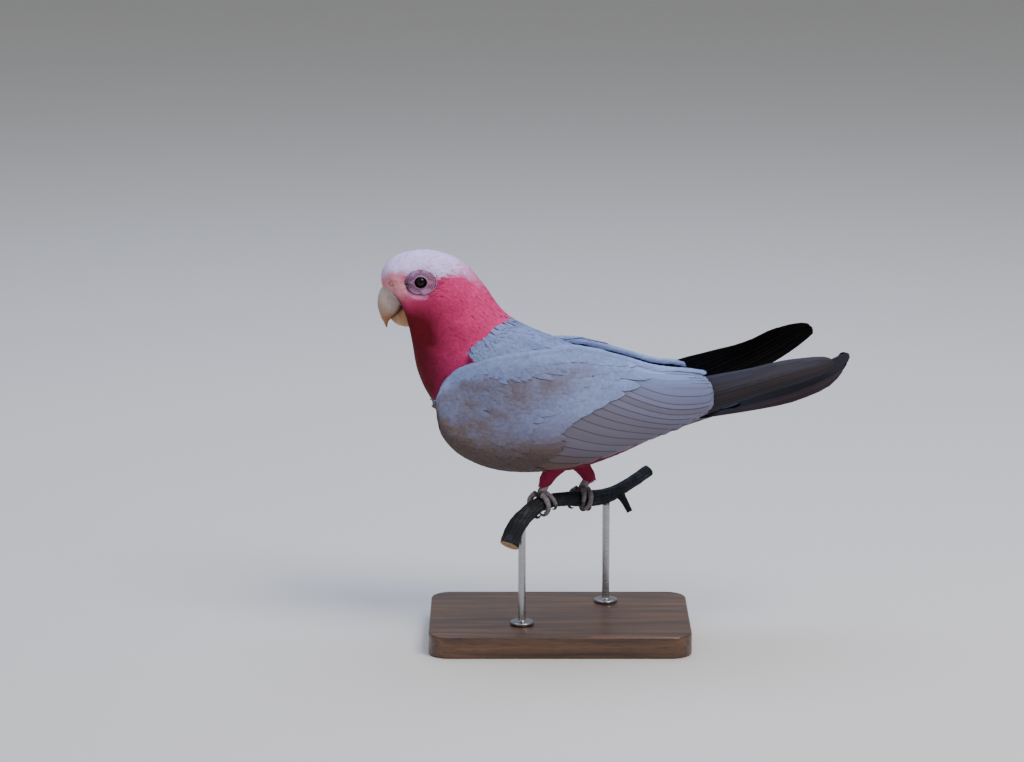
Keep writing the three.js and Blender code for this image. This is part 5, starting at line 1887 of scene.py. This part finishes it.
    def primaries(self, chance: Chance) -> Form:
        """The primaries: the inner ones end in steps along the blade's upper edge, the longest make its tip."""
        s, t = np.linspace(0, 1, 90)[:, None], np.linspace(0, 1, 50)[None, :]
        blade = Surface(SHAPE.wing_cover(SHAPE.blade_table(self.side), self.side, s, t), False, float(self.side.value))
        count = self.primaries_shown
        rows = along(self.primary_lines, np.linspace(0, 1, count))
        darkest = self.blade_darkness_and_far_shade[self.side]
        plume = MARKINGS.flight(chance.uniform(darkest - 0.08, darkest, count), chance.uniform(0.5, 0.9, count))
        plume[:, CHANCE] = chance.uniform(0.2, 0.8, count)
        half = np.interp(np.linspace(0, 1, count), (0, 0.5, 1), (4.2, 4.6, 5.6))
        tract = spanned(blade, rows[:, :2], rows[:, 2:], (-0.5, -0.1), half, np.full(count, 0.06), plume)
        # undersides marked 0.6 darker: partly their own dark grey, partly painted shade
        return lay(blade, tract, FLIGHT_VANE, float(self.side.value), 0.06, 0.6)


@dataclass(frozen=True)
class TailCoat:
    """The tail: twelve long feathers, the middle pair on top, and the coverts over their roots."""

    feathers: int = 12
    rows: int = 7
    per_row: int = 9
    seed: int = 41

    def build(self) -> None:
        """Makes the tail's feathers and coverts."""
        chance = np.random.default_rng(self.seed)
        u, share = np.linspace(0, 1, 120)[:, None], np.linspace(-1, 1, 70)[None, :]
        top = Surface(SHAPE.tail_points(u, share), False, 1.0, (0.0, 1.0), (-1.0, 1.0))
        place = np.linspace(-0.82, 0.82, self.feathers)
        place = place[np.argsort(-np.abs(place), kind="stable")]
        roots = np.stack([np.full(self.feathers, 0.05), place * 0.86], -1)
        tips = np.stack([0.995 - 0.035 * np.abs(place) ** 2, place], -1)
        plume = MARKINGS.flight(chance.uniform(0.98, 1.0, self.feathers), 0.4 + 0.6 * np.abs(place))
        plume[:, DARK] -= 0.15 * (place < -0.6)
        plume[:, CHANCE] = chance.uniform(0.2, 0.7, self.feathers)
        half = np.full(self.feathers, 6.0)
        tract = spanned(top, roots, tips, (-1.2, -0.7), half, np.sign(place) * 0.09, plume)
        form = lay(top, tract, FLIGHT_VANE, 1.0, 0.06, 0.2)
        keratin = FlightKeratin(name="feather_keratin_tail", brown="5a2a18")
        piece("tail_feathers", form, keratin, ["tail"])
        piece("tail_coverts", self.coverts(top, chance), Plumage())

    def coverts(self, top: Surface, chance: Chance) -> Form:
        """The upper tail coverts: rows of long pale feathers over the tail's root."""
        count = self.rows * self.per_row
        a = np.repeat(np.linspace(0.08, 0.23, self.rows), self.per_row) + chance.uniform(-0.01, 0.01, count)
        b = np.tile(np.linspace(-0.5, 0.44, self.per_row), self.rows)
        b = b + np.repeat(np.arange(self.rows) % 2, self.per_row) * 0.08
        look = top.look(a, b)
        length = chance.uniform(14, 17, count)
        patch = np.stack([a, 0.5 + 0.45 * b], -1)
        tract = shingled(top, look, a, b, wandering(look, chance, 0.04), length, BROAD_VANE, 0.6, 0.9, 3.2, patch)
        plume = tract.plume
        # painted shade: the coverts are marked darker towards the sides, where they lie under the wings' blades
        plume[:, PALE], plume[:, BROWN], plume[:, DARK] = 0.3, 0.35, 0.75 * rise(np.abs(b), 0.15, 0.45)
        plume[:, CHANCE] = chance.uniform(0.2, 0.8, count)
        return lay(top, tract, BROAD_VANE)


@dataclass(frozen=True)
class ThighCoat:
    """The rose feathers of a thigh, in rings down to the tarsus."""

    leg: Leg
    rows: int = 36
    per_row: int = 44
    cuff: float = 7.0
    seed: int = 51

    def build(self) -> None:
        """Makes the thigh's feathers."""
        path, radii = thigh_line(self.leg, 60)
        beyond = np.linspace(0.05, 1, 10)
        path = np.concatenate([path, path[-1] + unit(path[-1] - path[0]) * self.cuff * beyond[:, None]])
        radii = np.concatenate([radii, mix(radii[-1], self.leg.tarsus_radius - 0.1, rise(beyond, 0, 1))])
        rings = tube(path, radii, 96, np.array([0.0, 1.0, 0.0]))
        check = np.cross(rings[1, 0] - rings[0, 0], rings[0, 1] - rings[0, 0])
        outward = float(np.sign(check @ (rings[0, 0] - path[0])))
        surface = Surface(rings, ring=True, outward=outward)
        chance = np.random.default_rng(self.seed)
        count = self.rows * self.per_row
        a = np.repeat(np.linspace(0, 0.88, self.rows), self.per_row) + chance.uniform(-0.02, 0.02, count)
        stagger = 0.5 * np.repeat(np.arange(self.rows) % 2, self.per_row)
        b = (np.tile(np.arange(self.per_row), self.rows) + stagger + chance.uniform(-0.2, 0.2, count)) / self.per_row
        look = surface.look(a, b)
        length = np.interp(a, (0, 1), (8.5, 3.4)) * chance.uniform(0.8, 1.15, count)
        patch = on_map(np.clip(a, 0, 1), b, 0.02, 0.9)
        heading, poke = wandering(look, chance, 0.1), chance.normal(0.02, 0.04, count)
        half = np.interp(a, (0, 1), (1.0, 0.45))
        tract = shingled(surface, look, a, b, heading, length, SOFT_VANE, 1.2, poke, half, patch)
        # rose thighs, with painted shade as crimson
        tract.plume[:, ROSE], tract.plume[:, DEEP_AND_SHADE], tract.plume[:, CHANCE] = 1, 0.85, chance.uniform(0, 1, count)
        form = lay(surface, tract, SOFT_VANE, outward)
        piece(f"thigh_feathers_{self.leg.side.label}", form, Plumage())


# ---- the head's own pieces ----


@dataclass(frozen=True)
class EyeBall:
    """An eye: a ball with a slightly bulging cornea."""

    side: Side
    radius: float = 4.9
    stands_out: float = 0.9
    bulge: float = 0.3

    def build(self) -> None:
        """Makes the ball: rings round its own axis, which points out sideways, raised where the cornea is."""
        angle = np.linspace(0, np.pi, 44)[1:-1, None]
        turn = turns(64)[None, :]
        reach = self.radius + self.bulge * (1 - rise(angle, 0.35, 0.8))
        out = reach * np.cos(angle) + 0 * turn
        x, z = reach * np.sin(angle) * np.cos(turn), reach * np.sin(angle) * np.sin(turn)
        sign = self.side.value
        centre = EYE.place(self.side, *np.zeros((2, 1)), self.stands_out - self.radius)[0]
        rings = centre + np.stack([x, sign * out, z], -1)
        poles = [centre + [0, sign * k, 0] for k in (self.radius + self.bulge, -self.radius)]
        form = closed_tube(rings, *poles)
        form.marks["ray"] = np.hypot(form.points[:, 0] - EYE.x, form.points[:, 2] - EYE.z)
        piece(f"eye_ball_{self.side.label}", form, EyeGloss(), [f"eye_{self.side.label}"])


@dataclass(frozen=True)
class EyeRing:
    """The bare skin round an eye: rolled lids with a beaded rim, then wrinkles out to the feathers."""

    side: Side
    opening: float = 3.55
    folds: float = 6.0
    seed: int = 61

    def build(self) -> None:
        """Makes the ring as a closed loop of profiles. Its height over the cheek follows the share q from the lid's
        edge to the outer rim: a rolled lid, then wrinkles that fade, then the rim tucked under the feathers."""
        turn = turns(240)[None, :]
        q = np.linspace(0, 1, 56)[:, None]
        x_in, z_in = self.opening * 1.06 * np.cos(turn), self.opening * 0.95 * np.sin(turn)
        x_out, z_out = EYE.long * np.cos(turn), EYE.high * np.sin(turn)
        share = q**0.92
        dx, dz = mix(x_in, x_out, share), mix(z_in, z_out, share)
        flat = np.stack([dx, dz, 0 * dx], -1)
        phase = q * self.folds + 0.5 * noise(flat, 2.6, self.seed) + 0.22 * noise(flat, 1.1, self.seed + 1)
        ring = np.round(phase)
        crest = 0.5 + 0.5 * np.cos(2 * np.pi * (phase - ring))
        grain = 0.5 + 0.5 * np.cos(turn * (22 + 4 * ring) + 2.1 * ring + 3 * noise(flat, 1.7, self.seed + 2))
        cell = crest**0.6 * (0.1 + 0.9 * grain**0.6)
        worn = rise(noise(flat, 2.4, self.seed + 3), -0.55, 0.35) * rise(q, 0.12, 0.25) * (1 - rise(q, 0.78, 0.98))
        lid = 0.8 * np.exp(-(((q - 0.085) / 0.055) ** 2)) + 0.2 * np.exp(-(((q - 0.2) / 0.05) ** 2))
        beads = 0.12 * np.cos(turn * 34 + 3 * phase) * np.exp(-(((q - 0.1) / 0.06) ** 2))
        corner = np.exp(-(((dx + 9.4) / 3.0) ** 2 + ((dz + 1.0) / 2.6) ** 2))
        height = -0.55 * (1 - rise(q, 0, 0.05)) + lid + beads + 0.34 * (cell - 0.4) * worn - 0.45 * corner
        height = mix(height + 0.12, -1.15, rise(q, 0.86, 1.0))
        top = EYE.place(self.side, dx, dz, height)
        deep = np.linspace(1, 0, 6)[1:-1, None]
        under = EYE.place(self.side, mix(x_in, x_out, deep), mix(z_in, z_out, deep), -1.9)
        rings = np.concatenate([top, under])
        rows, count = rings.shape[:2]
        form = Form(rings.reshape(-1, 3), grid_faces(rows, count, True, True)).outward()
        # painted shade: dark in the wrinkles' valleys, under the lid, in the front corner's hollow and along the lower
        # rim under the feathers
        valley = (1 - cell) ** 2 * worn * 1.1
        under_lid = np.exp(-(((q - 0.16) / 0.03) ** 2)) * 0.35 + 1.0 * (1 - rise(q, 0.02, 0.09))
        lower = 0.9 * np.exp(-(((q - 0.82) / 0.06) ** 2)) * rise(-dz / EYE.high, 0.1, 0.5) * (1 - rise(dx, -1, 5))
        crease = np.clip(valley + under_lid + 0.85 * corner + lower, 0, 1)
        flush = np.clip(0.3 + 0.5 * noise(flat, 3.0, self.seed + 4) + 0.3 * corner + 0.4 * rise(dx, 2, 9), 0, 1)
        padding = np.zeros((len(under), count))
        form.marks = {"crease": np.concatenate([crease, padding]).ravel()}
        form.marks["flush"] = np.concatenate([flush, padding]).ravel()
        piece(f"eye_ring_skin_{self.side.label}", form, BareSkin(), [f"eye_ring_{self.side.label}"])


@dataclass(frozen=True)
class Cere:
    """The swollen pad over one side of the bill's root, round its nostril."""

    side: Side
    hole: float = 0.8
    seed: int = 71

    def build(self) -> None:
        """Makes the pad: rings out from the nostril's depth, over its lip and down to the feathers."""
        turn = turns(72)[None, :]
        q = np.linspace(0.02, 1, 26)[:, None]
        inner = self.hole * np.minimum(1, 0.4 + 8 * q)
        dx = np.cos(turn) * mix(inner, CERE.long, q**1.3)
        dz = np.sin(turn) * mix(inner * 0.85, CERE.high, q**1.3)
        flat = np.stack([dx, dz, 0 * dx], -1)
        height = mix(-1.5, 0.22, rise(q, 0.05, 0.3)) - 0.8 * rise(q, 0.5, 1.0) + 0.1 * noise(flat, 0.9, self.seed)
        top = CERE.place(self.side, dx, dz, height)
        under = CERE.place(self.side, dx[::-6], dz[::-6], -1.7)
        ends = (CERE.place(self.side, *np.zeros((2, 1)), depth)[0] for depth in (-1.6, -1.75))
        form = closed_tube(np.concatenate([top, under[:-1]]), *ends)
        # painted shade: dark in the nostril's hollow, fading over its lip
        dark = np.clip(1 - 0.8 * rise(q, 0.06, 0.35) - 0.2 * rise(q, 0.35, 0.8) + 0 * turn, 0, 1)
        padding = np.zeros((len(under) - 1) * 72)
        form.marks["crease"] = np.concatenate([dark.ravel(), padding, [1.0, 0.0]])
        form.marks["flush"] = np.ones(len(form.points))
        coral = BareSkin(name="bare_skin_coral", skin="c07a80", flush="c07a80")
        piece(f"cere_{self.side.label}", form, coral)


@dataclass(frozen=True)
class Bill:
    """The bill's two halves, round through their ribs: outer edge x and z, inner edge x and z, half-width."""

    upper: Table = (
        (-115.5, 145, -101.5, 134.5, 7), (-120.5, 138, -103.4, 130, 8.2), (-122, 129.5, -106.6, 124.4, 7.5),
        (-120, 121.5, -111.4, 120.8, 5.2), (-117.8, 116.7, -114.5, 117.6, 2.8), (-116.3, 113.4, -115.5, 113.8, 0.8),
    )
    lower: Table = (
        (-98, 132.5, -98, 114.5, 6.5), (-104, 129.5, -103.8, 114, 6.8), (-109, 124.5, -109.5, 116, 5.6),
        (-113, 120.7, -113.5, 119.7, 3),
    )

    def build(self) -> None:
        """Makes both halves."""
        piece("bill_upper_horn", self.half(self.upper, 90, 72, True), BillHorn(), ["bill_upper"])
        lower = BillHorn(name="bill_keratin_lower", base="c0905f", tip="a87a50")
        piece("bill_lower_horn", self.half(self.lower, 60, 64, False), lower, ["bill_lower"])

    def half(self, table: Table, rows: int, sides: int, top: bool) -> Form:
        """One half: the section's half-width grows as the 0.8th power of the sine round it, with faint growth ridges
        across it. It carries painted shade at the cutting edge, where the halves meet.

        Args:
            table: The half's ribs.
            rows: Rings along it.
            sides: Points in a ring.
            top: Whether it is the upper half.

        Returns:
            The closed form, with the share along it and the painted shade at the cutting edge.
        """
        u = np.linspace(0, 1, rows)[:, None]
        angle = turns(sides)[None, :]
        *ends, width = np.moveaxis(along(table, u), -1, 0)
        x, z, half, out_x, out_z = rib_axis(*ends)
        full = np.sign(np.sin(angle)) * np.abs(np.sin(angle)) ** 0.8
        flat = np.stack(np.broadcast_arrays(u * 30, np.cos(angle) * 5, np.sin(angle) * 5), -1)
        ridges = 0.07 * np.sin(u * 62 + 0.8 * noise(flat, 6.0, 81)) * np.sin(angle) ** 2 * (1 - rise(u, 0.75, 1.0))
        swell = ridges + 0.1 * noise(flat, 4.0, 82)
        reach = (half + swell) * np.cos(angle)
        y = (width + swell * np.minimum(1, width / 3)) * full
        points = np.stack([x + out_x * reach, y, z + out_z * reach + PERCH_TOP], -1)
        form = closed_tube(points)
        # painted shade along the cutting edge, where the two halves meet
        inner = -np.cos(angle) if top else np.cos(angle)
        edge = rise(inner, 0.5, 0.85) * (0.9 if top else 0.6) + 0 * u
        run = np.broadcast_to(u, edge.shape)
        form.marks["run"] = np.concatenate([run.ravel(), [0.0, 1.0]])
        form.marks["crease"] = np.concatenate([edge.ravel(), [0.0, 0.3]])
        return form


# ---- the feet ----


@dataclass(frozen=True)
class Toe:
    """A toe bent round the branch: the side it is on, the places of its root and tip along the branch, the first and
    last angle round it in degrees from the top, the radius and the claw's length."""

    name: str
    front: int
    root: float
    tip: float
    start: float
    end: float
    radius: float
    claw: float


TOES = (
    Toe("inner_front", 1, 2.3, 6.0, 20, 122, 2.0, 6.4),
    Toe("outer_front", 1, -2.4, -6.2, 20, 164, 2.25, 7.4),
    Toe("inner_back", -1, 2.2, 5.4, 20, 96, 1.9, 5.8),
    Toe("outer_back", -1, -2.3, -1.0, 20, 150, 2.1, 6.8),
)


@dataclass(frozen=True)
class Foot:
    """A foot: its tarsus and four toes under one scaly skin, and the four claws."""

    leg: Leg
    clear: float = 0.45
    voxel: float = 0.36
    scute: float = 1.55
    block: int = 4000

    def build(self) -> None:
        """Makes the foot's skin and its claws."""
        label = self.leg.side.label
        paths = [self.toe_path(toe) for toe in TOES]
        paths.append(self.tarsus_path())
        across = self.place().direction
        forms = [closed_tube(tube(p, self.pads(p, r), 20, across, 0.95)) for p, r in paths[:-1]]
        shank, shank_radii = paths[-1]
        forms.append(closed_tube(tube(shank, shank_radii, 20, np.array([0.0, 1.0, 0.0]))))
        skin = remeshed(forms, self.voxel, 2)
        skin.marks["crease"] = self.scales(skin, [p for p, _ in paths])
        nodes = [f"tarsus_{label}"] + [f"toe_{label}_{toe.name}" for toe in TOES]
        piece(f"foot_skin_{label}", skin, FootSkin(), nodes)
        claws = joined([self.claw(toe) for toe in TOES])
        piece(f"claws_{label}_horn", claws, ClawHorn(), [f"claw_{label}_{toe.name}" for toe in TOES])

    def place(self) -> BranchPlaces:
        """The branch where the foot grips it."""
        return BRANCH.places(self.leg.share)

    def toe_path(self, toe: Toe, count: int = 40) -> tuple[Array, Array]:
        """Points along a toe's middle and its radius there, which narrows to 0.8 of its root's."""
        t = np.linspace(0, 1, count)
        radius = mix(toe.radius, toe.radius * 0.8, t)
        angle = np.radians(mix(toe.start, toe.end, t)) * toe.front
        shift = -self.leg.side.value * mix(toe.root, toe.tip, t)
        return self.place().bark(angle, radius + self.clear, shift), radius

    def pads(self, path: Array, radius: Array) -> Array:
        """The radius along a toe with its joints' pads: three shallow swellings."""
        t = np.linspace(0, 1, len(path))
        return radius * (0.94 + 0.07 * np.cos(2 * np.pi * 3 * t))

    def tarsus_path(self) -> tuple[Array, Array]:
        """Points down the tarsus from the ankle to the foot's hub, and its radius there."""
        hub = self.place().bark(np.array(0.0), np.array(self.leg.sole), np.array(0.0))
        ankle = np.array([hub[0] + self.leg.ankle[0], hub[1], hub[2] + self.leg.ankle[1]])
        t = np.linspace(0.28, 1, 24)
        radius = self.leg.tarsus_radius * along(((1.0,), (0.95,), (1.15,)), t)[:, 0]
        return mix(ankle, hub, t[:, None]), radius

    def scales(self, skin: Form, paths: Sequence[Array]) -> Array:
        """Raises rows of scutes along the toes and the tarsus and returns how deep each point lies in a seam. A point
        belongs to the nearest path; scutes are bands along it, a little rounded, a scute's length apart."""
        samples = np.concatenate(paths)
        steps = [np.concatenate([[0], np.cumsum(np.linalg.norm(np.diff(p, axis=0), axis=1))]) for p in paths]
        distance = np.concatenate(steps)
        near = np.empty(len(skin.points), int)
        for block in np.array_split(np.arange(len(near)), max(1, len(near) // self.block)):
            near[block] = ((skin.points[block, None] - samples[None]) ** 2).sum(-1).argmin(1)
        phase = distance[near] / self.scute
        band = np.abs(np.sin(np.pi * phase)) ** 0.55
        skin.points = skin.points + normals_of(skin) * (0.16 * (band - 0.7))[:, None]
        return np.clip(1 - band * 1.5, 0, 1) * 0.85

    def claw(self, toe: Toe) -> Form:
        """A claw: a tapering curve that leaves the toe's tip and bends on round the branch."""
        place = self.place()
        turn = math.degrees(toe.claw / (float(place.radius) + 2))
        t = np.linspace(0, 1, 22)
        angle = np.radians(toe.end - 6 + (turn + 6) * t) * toe.front
        height = 1.9 + 1.3 * np.sin(np.pi * t) - 1.0 * t
        path = place.bark(angle, height, np.full(22, -self.leg.side.value * toe.tip))
        radii = along(((1.3,), (1.25,), (1.0,), (0.7,), (0.22,)), t)[:, 0]
        form = closed_tube(tube(path, radii, 18, place.direction, 0.85))
        form.marks["run"] = np.concatenate([np.repeat(t, 18), [0.0, 1.0]])
        return form


# ---- the perch and the stand ----


@dataclass(frozen=True)
class Perch:
    """The cut branch with its bark, sawn ends and the stub of a twig."""

    rows: int = 300
    sides: int = 84
    twig_at: float = 0.8
    twig_length: float = 17.0
    twig_radii: Pair = (2.9, 2.0)
    twig_out: Point = (0.5, -0.3, -0.81)
    seed: int = 91

    def build(self) -> None:
        """Makes the branch and its twig."""
        share = np.linspace(0, 1, self.rows)
        trunk = self.barked(BRANCH.places(share), share, self.sides)
        root = BRANCH.places(self.twig_at)
        t = np.linspace(0, 1, 70)
        path = root.at + unit(np.array(self.twig_out)) * self.twig_length * t[:, None]
        path = path + np.array([0.0, 0.0, 1.0]) * (0.8 * np.sin(np.pi * t))[:, None]
        radii = mix(*self.twig_radii, t) + 1.4 * (1 - rise(t, 0.1, 0.45))
        rings = tube(path, radii, 40, np.array([0.0, 1.0, 0.0]))
        middle = path[:, None]
        relief = self.relief(rings)
        rings = middle + (rings - middle) * (1 + (relief - 0.6)[..., None] * 0.1)
        twig = self.capped(rings, relief, path)
        form = joined([trunk, twig])
        form.finish_of_quads = np.concatenate([trunk.finish_of_quads, twig.finish_of_quads])
        piece("perch_bark", form, (Bark(), CutWood()), ["perch_branch"])

    def relief(self, points: Array) -> Array:
        """The bark's height from 0 to 1: ridges that run along the branch, broken by cracks and small knots."""
        coarse, fine = noise(points, 5.0, self.seed), noise(points, 1.8, self.seed + 1)
        grain = noise(points * [0.35, 0.35, 1.0], 1.3, self.seed + 2)
        return np.clip(0.55 + 0.3 * coarse + 0.25 * fine + 0.2 * grain, 0, 1)

    def barked(self, places: BranchPlaces, share: Array, sides: int) -> Form:
        """The branch's skin: rings of its radius, with the bark's relief and ridges wound a little round it."""
        angle = turns(sides)[None, :]
        row = share[:, None] * 17
        lumps = 0.3 * np.sin(2 * angle + row * 0.7) + 0.2 * np.sin(3 * angle - row * 1.1)
        ridges = np.abs(np.sin(angle * 6.5 + 2.2 * np.sin(row * 0.9) + row * 0.8))
        wide = BranchPlaces(*(getattr(places, name)[:, None] for name in places.__dataclass_fields__))
        flat = np.zeros_like(lumps)
        rough = wide.bark(angle + flat, flat, flat)
        relief = np.clip(self.relief(rough) * 0.75 + 0.3 * ridges, 0, 1)
        height = lumps + 0.9 * (relief - 0.62)
        rings = wide.bark(angle + flat, height, flat)
        return self.capped(rings, relief, places.at)

    def capped(self, rings: Array, relief: Array, path: Array) -> Form:
        """A closed form whose ends are flat sawn faces: rings that shrink to the middle."""
        shares = np.array([0.96, 0.7, 0.4, 0.12])
        first = [mix(path[0], rings[0], k) for k in shares[::-1]]
        last = [mix(path[-1], rings[-1], k) for k in shares]
        whole = np.concatenate([first, rings, last])
        form = closed_tube(whole)
        count = rings.shape[1]
        head, tail = len(shares), len(whole) - len(shares)
        ray_first = np.linalg.norm(whole[: head + 1] - path[0], axis=-1)
        ray_last = np.linalg.norm(whole[tail - 1 :] - path[-1], axis=-1)
        values = np.full(whole.shape[:2], 5.0)
        values[: head + 1], values[tail - 1 :] = ray_first, ray_last
        ray = np.concatenate([values.ravel(), [0.0, 0.0]])
        padded = np.concatenate([np.repeat(relief[:1], head, 0), relief, np.repeat(relief[-1:], head, 0)])
        form.marks = {"relief": np.concatenate([padded.ravel(), [0.5, 0.5]]), "ray": ray}
        band = np.arange(len(form.quads)) // count
        form.finish_of_quads = ((band < head) | (band >= tail - 1)).astype(int)
        return form


@dataclass(frozen=True)
class Stand:
    """The display stand: a bevelled wooden base and two steel rods with small feet."""

    length: float = 176.0
    width: float = 116.0
    height: float = 15.0
    corner: float = 14.0
    bevel: float = 1.6
    face_insets: Pair = (10.0, 5.0)
    outline_points: int = 128
    rods: Pair = (0.176, 0.725)
    rod_radius: float = 2.5
    foot_radius: float = 8.0
    foot_height: float = 2.0
    gap: float = 0.35

    def build(self) -> None:
        """Makes the base and the rods."""
        piece("stand_base_wood", self.base(), OiledWalnut(), ["stand_base"])
        rods = joined([self.rod(share) for share in self.rods])
        piece("stand_rods_steel", rods, BrushedSteel(), ["stand_rod_1", "stand_rod_2"])

    def outline(self, inset: float) -> Array:
        """The base's outline, a rectangle with round corners, moved in by some millimetres."""
        turn = turns(self.outline_points) + np.pi / self.outline_points
        x, y = np.cos(turn), np.sin(turn)
        corner = self.corner - inset
        centre_x = np.sign(x) * (self.length / 2 - self.corner)
        centre_y = np.sign(y) * (self.width / 2 - self.corner)
        return np.stack([centre_x + corner * x, centre_y + corner * y], -1)

    def base(self) -> Form:
        """The base: its outline carried up a profile with rounded edges."""
        arc = np.linspace(0, np.pi / 2, 7)
        inset = self.bevel * (1 - np.sin(arc))
        rise_up = self.bevel * (1 - np.cos(arc))
        insets = np.concatenate([self.face_insets, inset, inset[::-1], self.face_insets[::-1]])
        heights = np.concatenate([[0, 0], rise_up, self.height - rise_up[::-1], [self.height, self.height]])
        rings = [np.insert(self.outline(i), 2, z, axis=1) for i, z in zip(insets, heights)]
        inner = [rings[k] * [0.5, 0.5, 1.0] for k in (0, -1)]
        return closed_tube(np.stack([inner[0], *rings, inner[1]]))

    def rod(self, share: float) -> Form:
        """An upright rod turned from a profile: foot, rounded shoulder and shaft up into the branch's underside."""
        place = BRANCH.places(share)
        under = float(place.at[2] - place.radius / max(0.5, math.hypot(*place.direction[:2]))) + 0.4
        foot = self.height + self.gap
        arc = np.linspace(0, np.pi / 2, 6)
        fillet = self.rod_radius + 1.2 - 1.2 * np.sin(arc)
        radii = np.concatenate(
            [[self.foot_radius - 0.3, self.foot_radius], self.foot_radius - 0.8 * (1 - np.cos(arc)), fillet,
             np.full(40, self.rod_radius)]
        )
        shoulder = foot + self.foot_height
        heights = np.concatenate(
            [[foot, foot + 0.3], shoulder - 0.8 + 0.8 * np.sin(arc), shoulder + 1.2 - 1.2 * np.cos(arc),
             np.linspace(shoulder + 1.8, under, 40)]
        )
        turn = turns(56)
        x, y = radii[:, None] * np.cos(turn), radii[:, None] * np.sin(turn)
        rings = np.stack([place.at[0] + x, place.at[1] + y, heights[:, None] + 0 * x], -1)
        return closed_tube(rings)


# ---- the studio ----


@dataclass(frozen=True)
class Softbox:
    """A large soft lamp: where it stands, its size in metres, its power in watts and its tint."""

    name: str
    place: Point
    size: float
    power: float
    tint: str


@dataclass(frozen=True)
class Studio:
    """The pale floor, the soft lights and the camera."""

    target: Point = (-0.0322, 0.0, 0.1767)
    elevation: float = 12.0
    distance: float = 2.4
    lens: float = 125.9
    sky: str = "e6e9ee"
    sky_strength: float = 0.38
    floor_reach: float = 12000.0
    lamps: tuple[Softbox, ...] = (
        Softbox("key", (0.8, -0.9, 1.7), 1.0, 31.0, "fff6ee"),
        Softbox("sky", (0.0, 0.6, 1.9), 1.8, 36.0, "cddcff"),
        Softbox("fill", (-1.5, -1.6, 0.8), 1.4, 3.5, "fff2e6"),
    )

    def build(self) -> None:
        """Makes the floor, lamps, surrounding light and camera."""
        corners = np.array([[-1, -1, 0], [1, -1, 0], [1, 1, 0], [-1, 1, 0]]) * self.floor_reach
        form = Form(corners, np.array([[0, 1, 2, 3]]))
        floor = placed("floor", mesh_of("floor", form))
        floor.data.materials.append(StudioPaper().material())
        middle = Vector(self.target)
        for lamp in self.lamps:
            light = bpy.data.lights.new(lamp.name, "AREA")
            light.shape, light.size, light.energy = "DISK", lamp.size, lamp.power
            light.color = linear(lamp.tint)[:3]
            holder = placed(lamp.name, light)
            holder.location = lamp.place
            holder.rotation_euler = (middle - holder.location).to_track_quat("-Z", "Y").to_euler()
        world = bpy.data.worlds.new("studio")
        world.use_nodes = True
        light = world.node_tree.nodes["Background"].inputs
        light["Color"].default_value, light["Strength"].default_value = linear(self.sky), self.sky_strength
        bpy.context.scene.world = world
        lens = bpy.data.cameras.new("camera")
        lens.lens, lens.sensor_width, lens.clip_end = self.lens, 36.0, 100.0
        camera = placed("camera", lens)
        tilt = math.radians(self.elevation)
        camera.location = middle + Vector((0, -math.cos(tilt), math.sin(tilt))) * self.distance
        camera.rotation_euler = (middle - camera.location).to_track_quat("-Z", "Y").to_euler()
        bpy.context.scene.camera = camera


def main() -> None:
    """Builds the studio and every piece of the model."""
    logging.basicConfig(level=logging.INFO, format="%(name)s: %(message)s")
    Studio().build()
    Skin().build()
    BodyCoat().build()
    for side in Side:
        WingCoat(side).build()
        EyeBall(side).build()
        EyeRing(side).build()
        Cere(side).build()
    TailCoat().build()
    Bill().build()
    for leg in LEGS:
        ThighCoat(leg).build()
        Foot(leg).build()
    Perch().build()
    Stand().build()


if __name__ == "__main__":
    main()
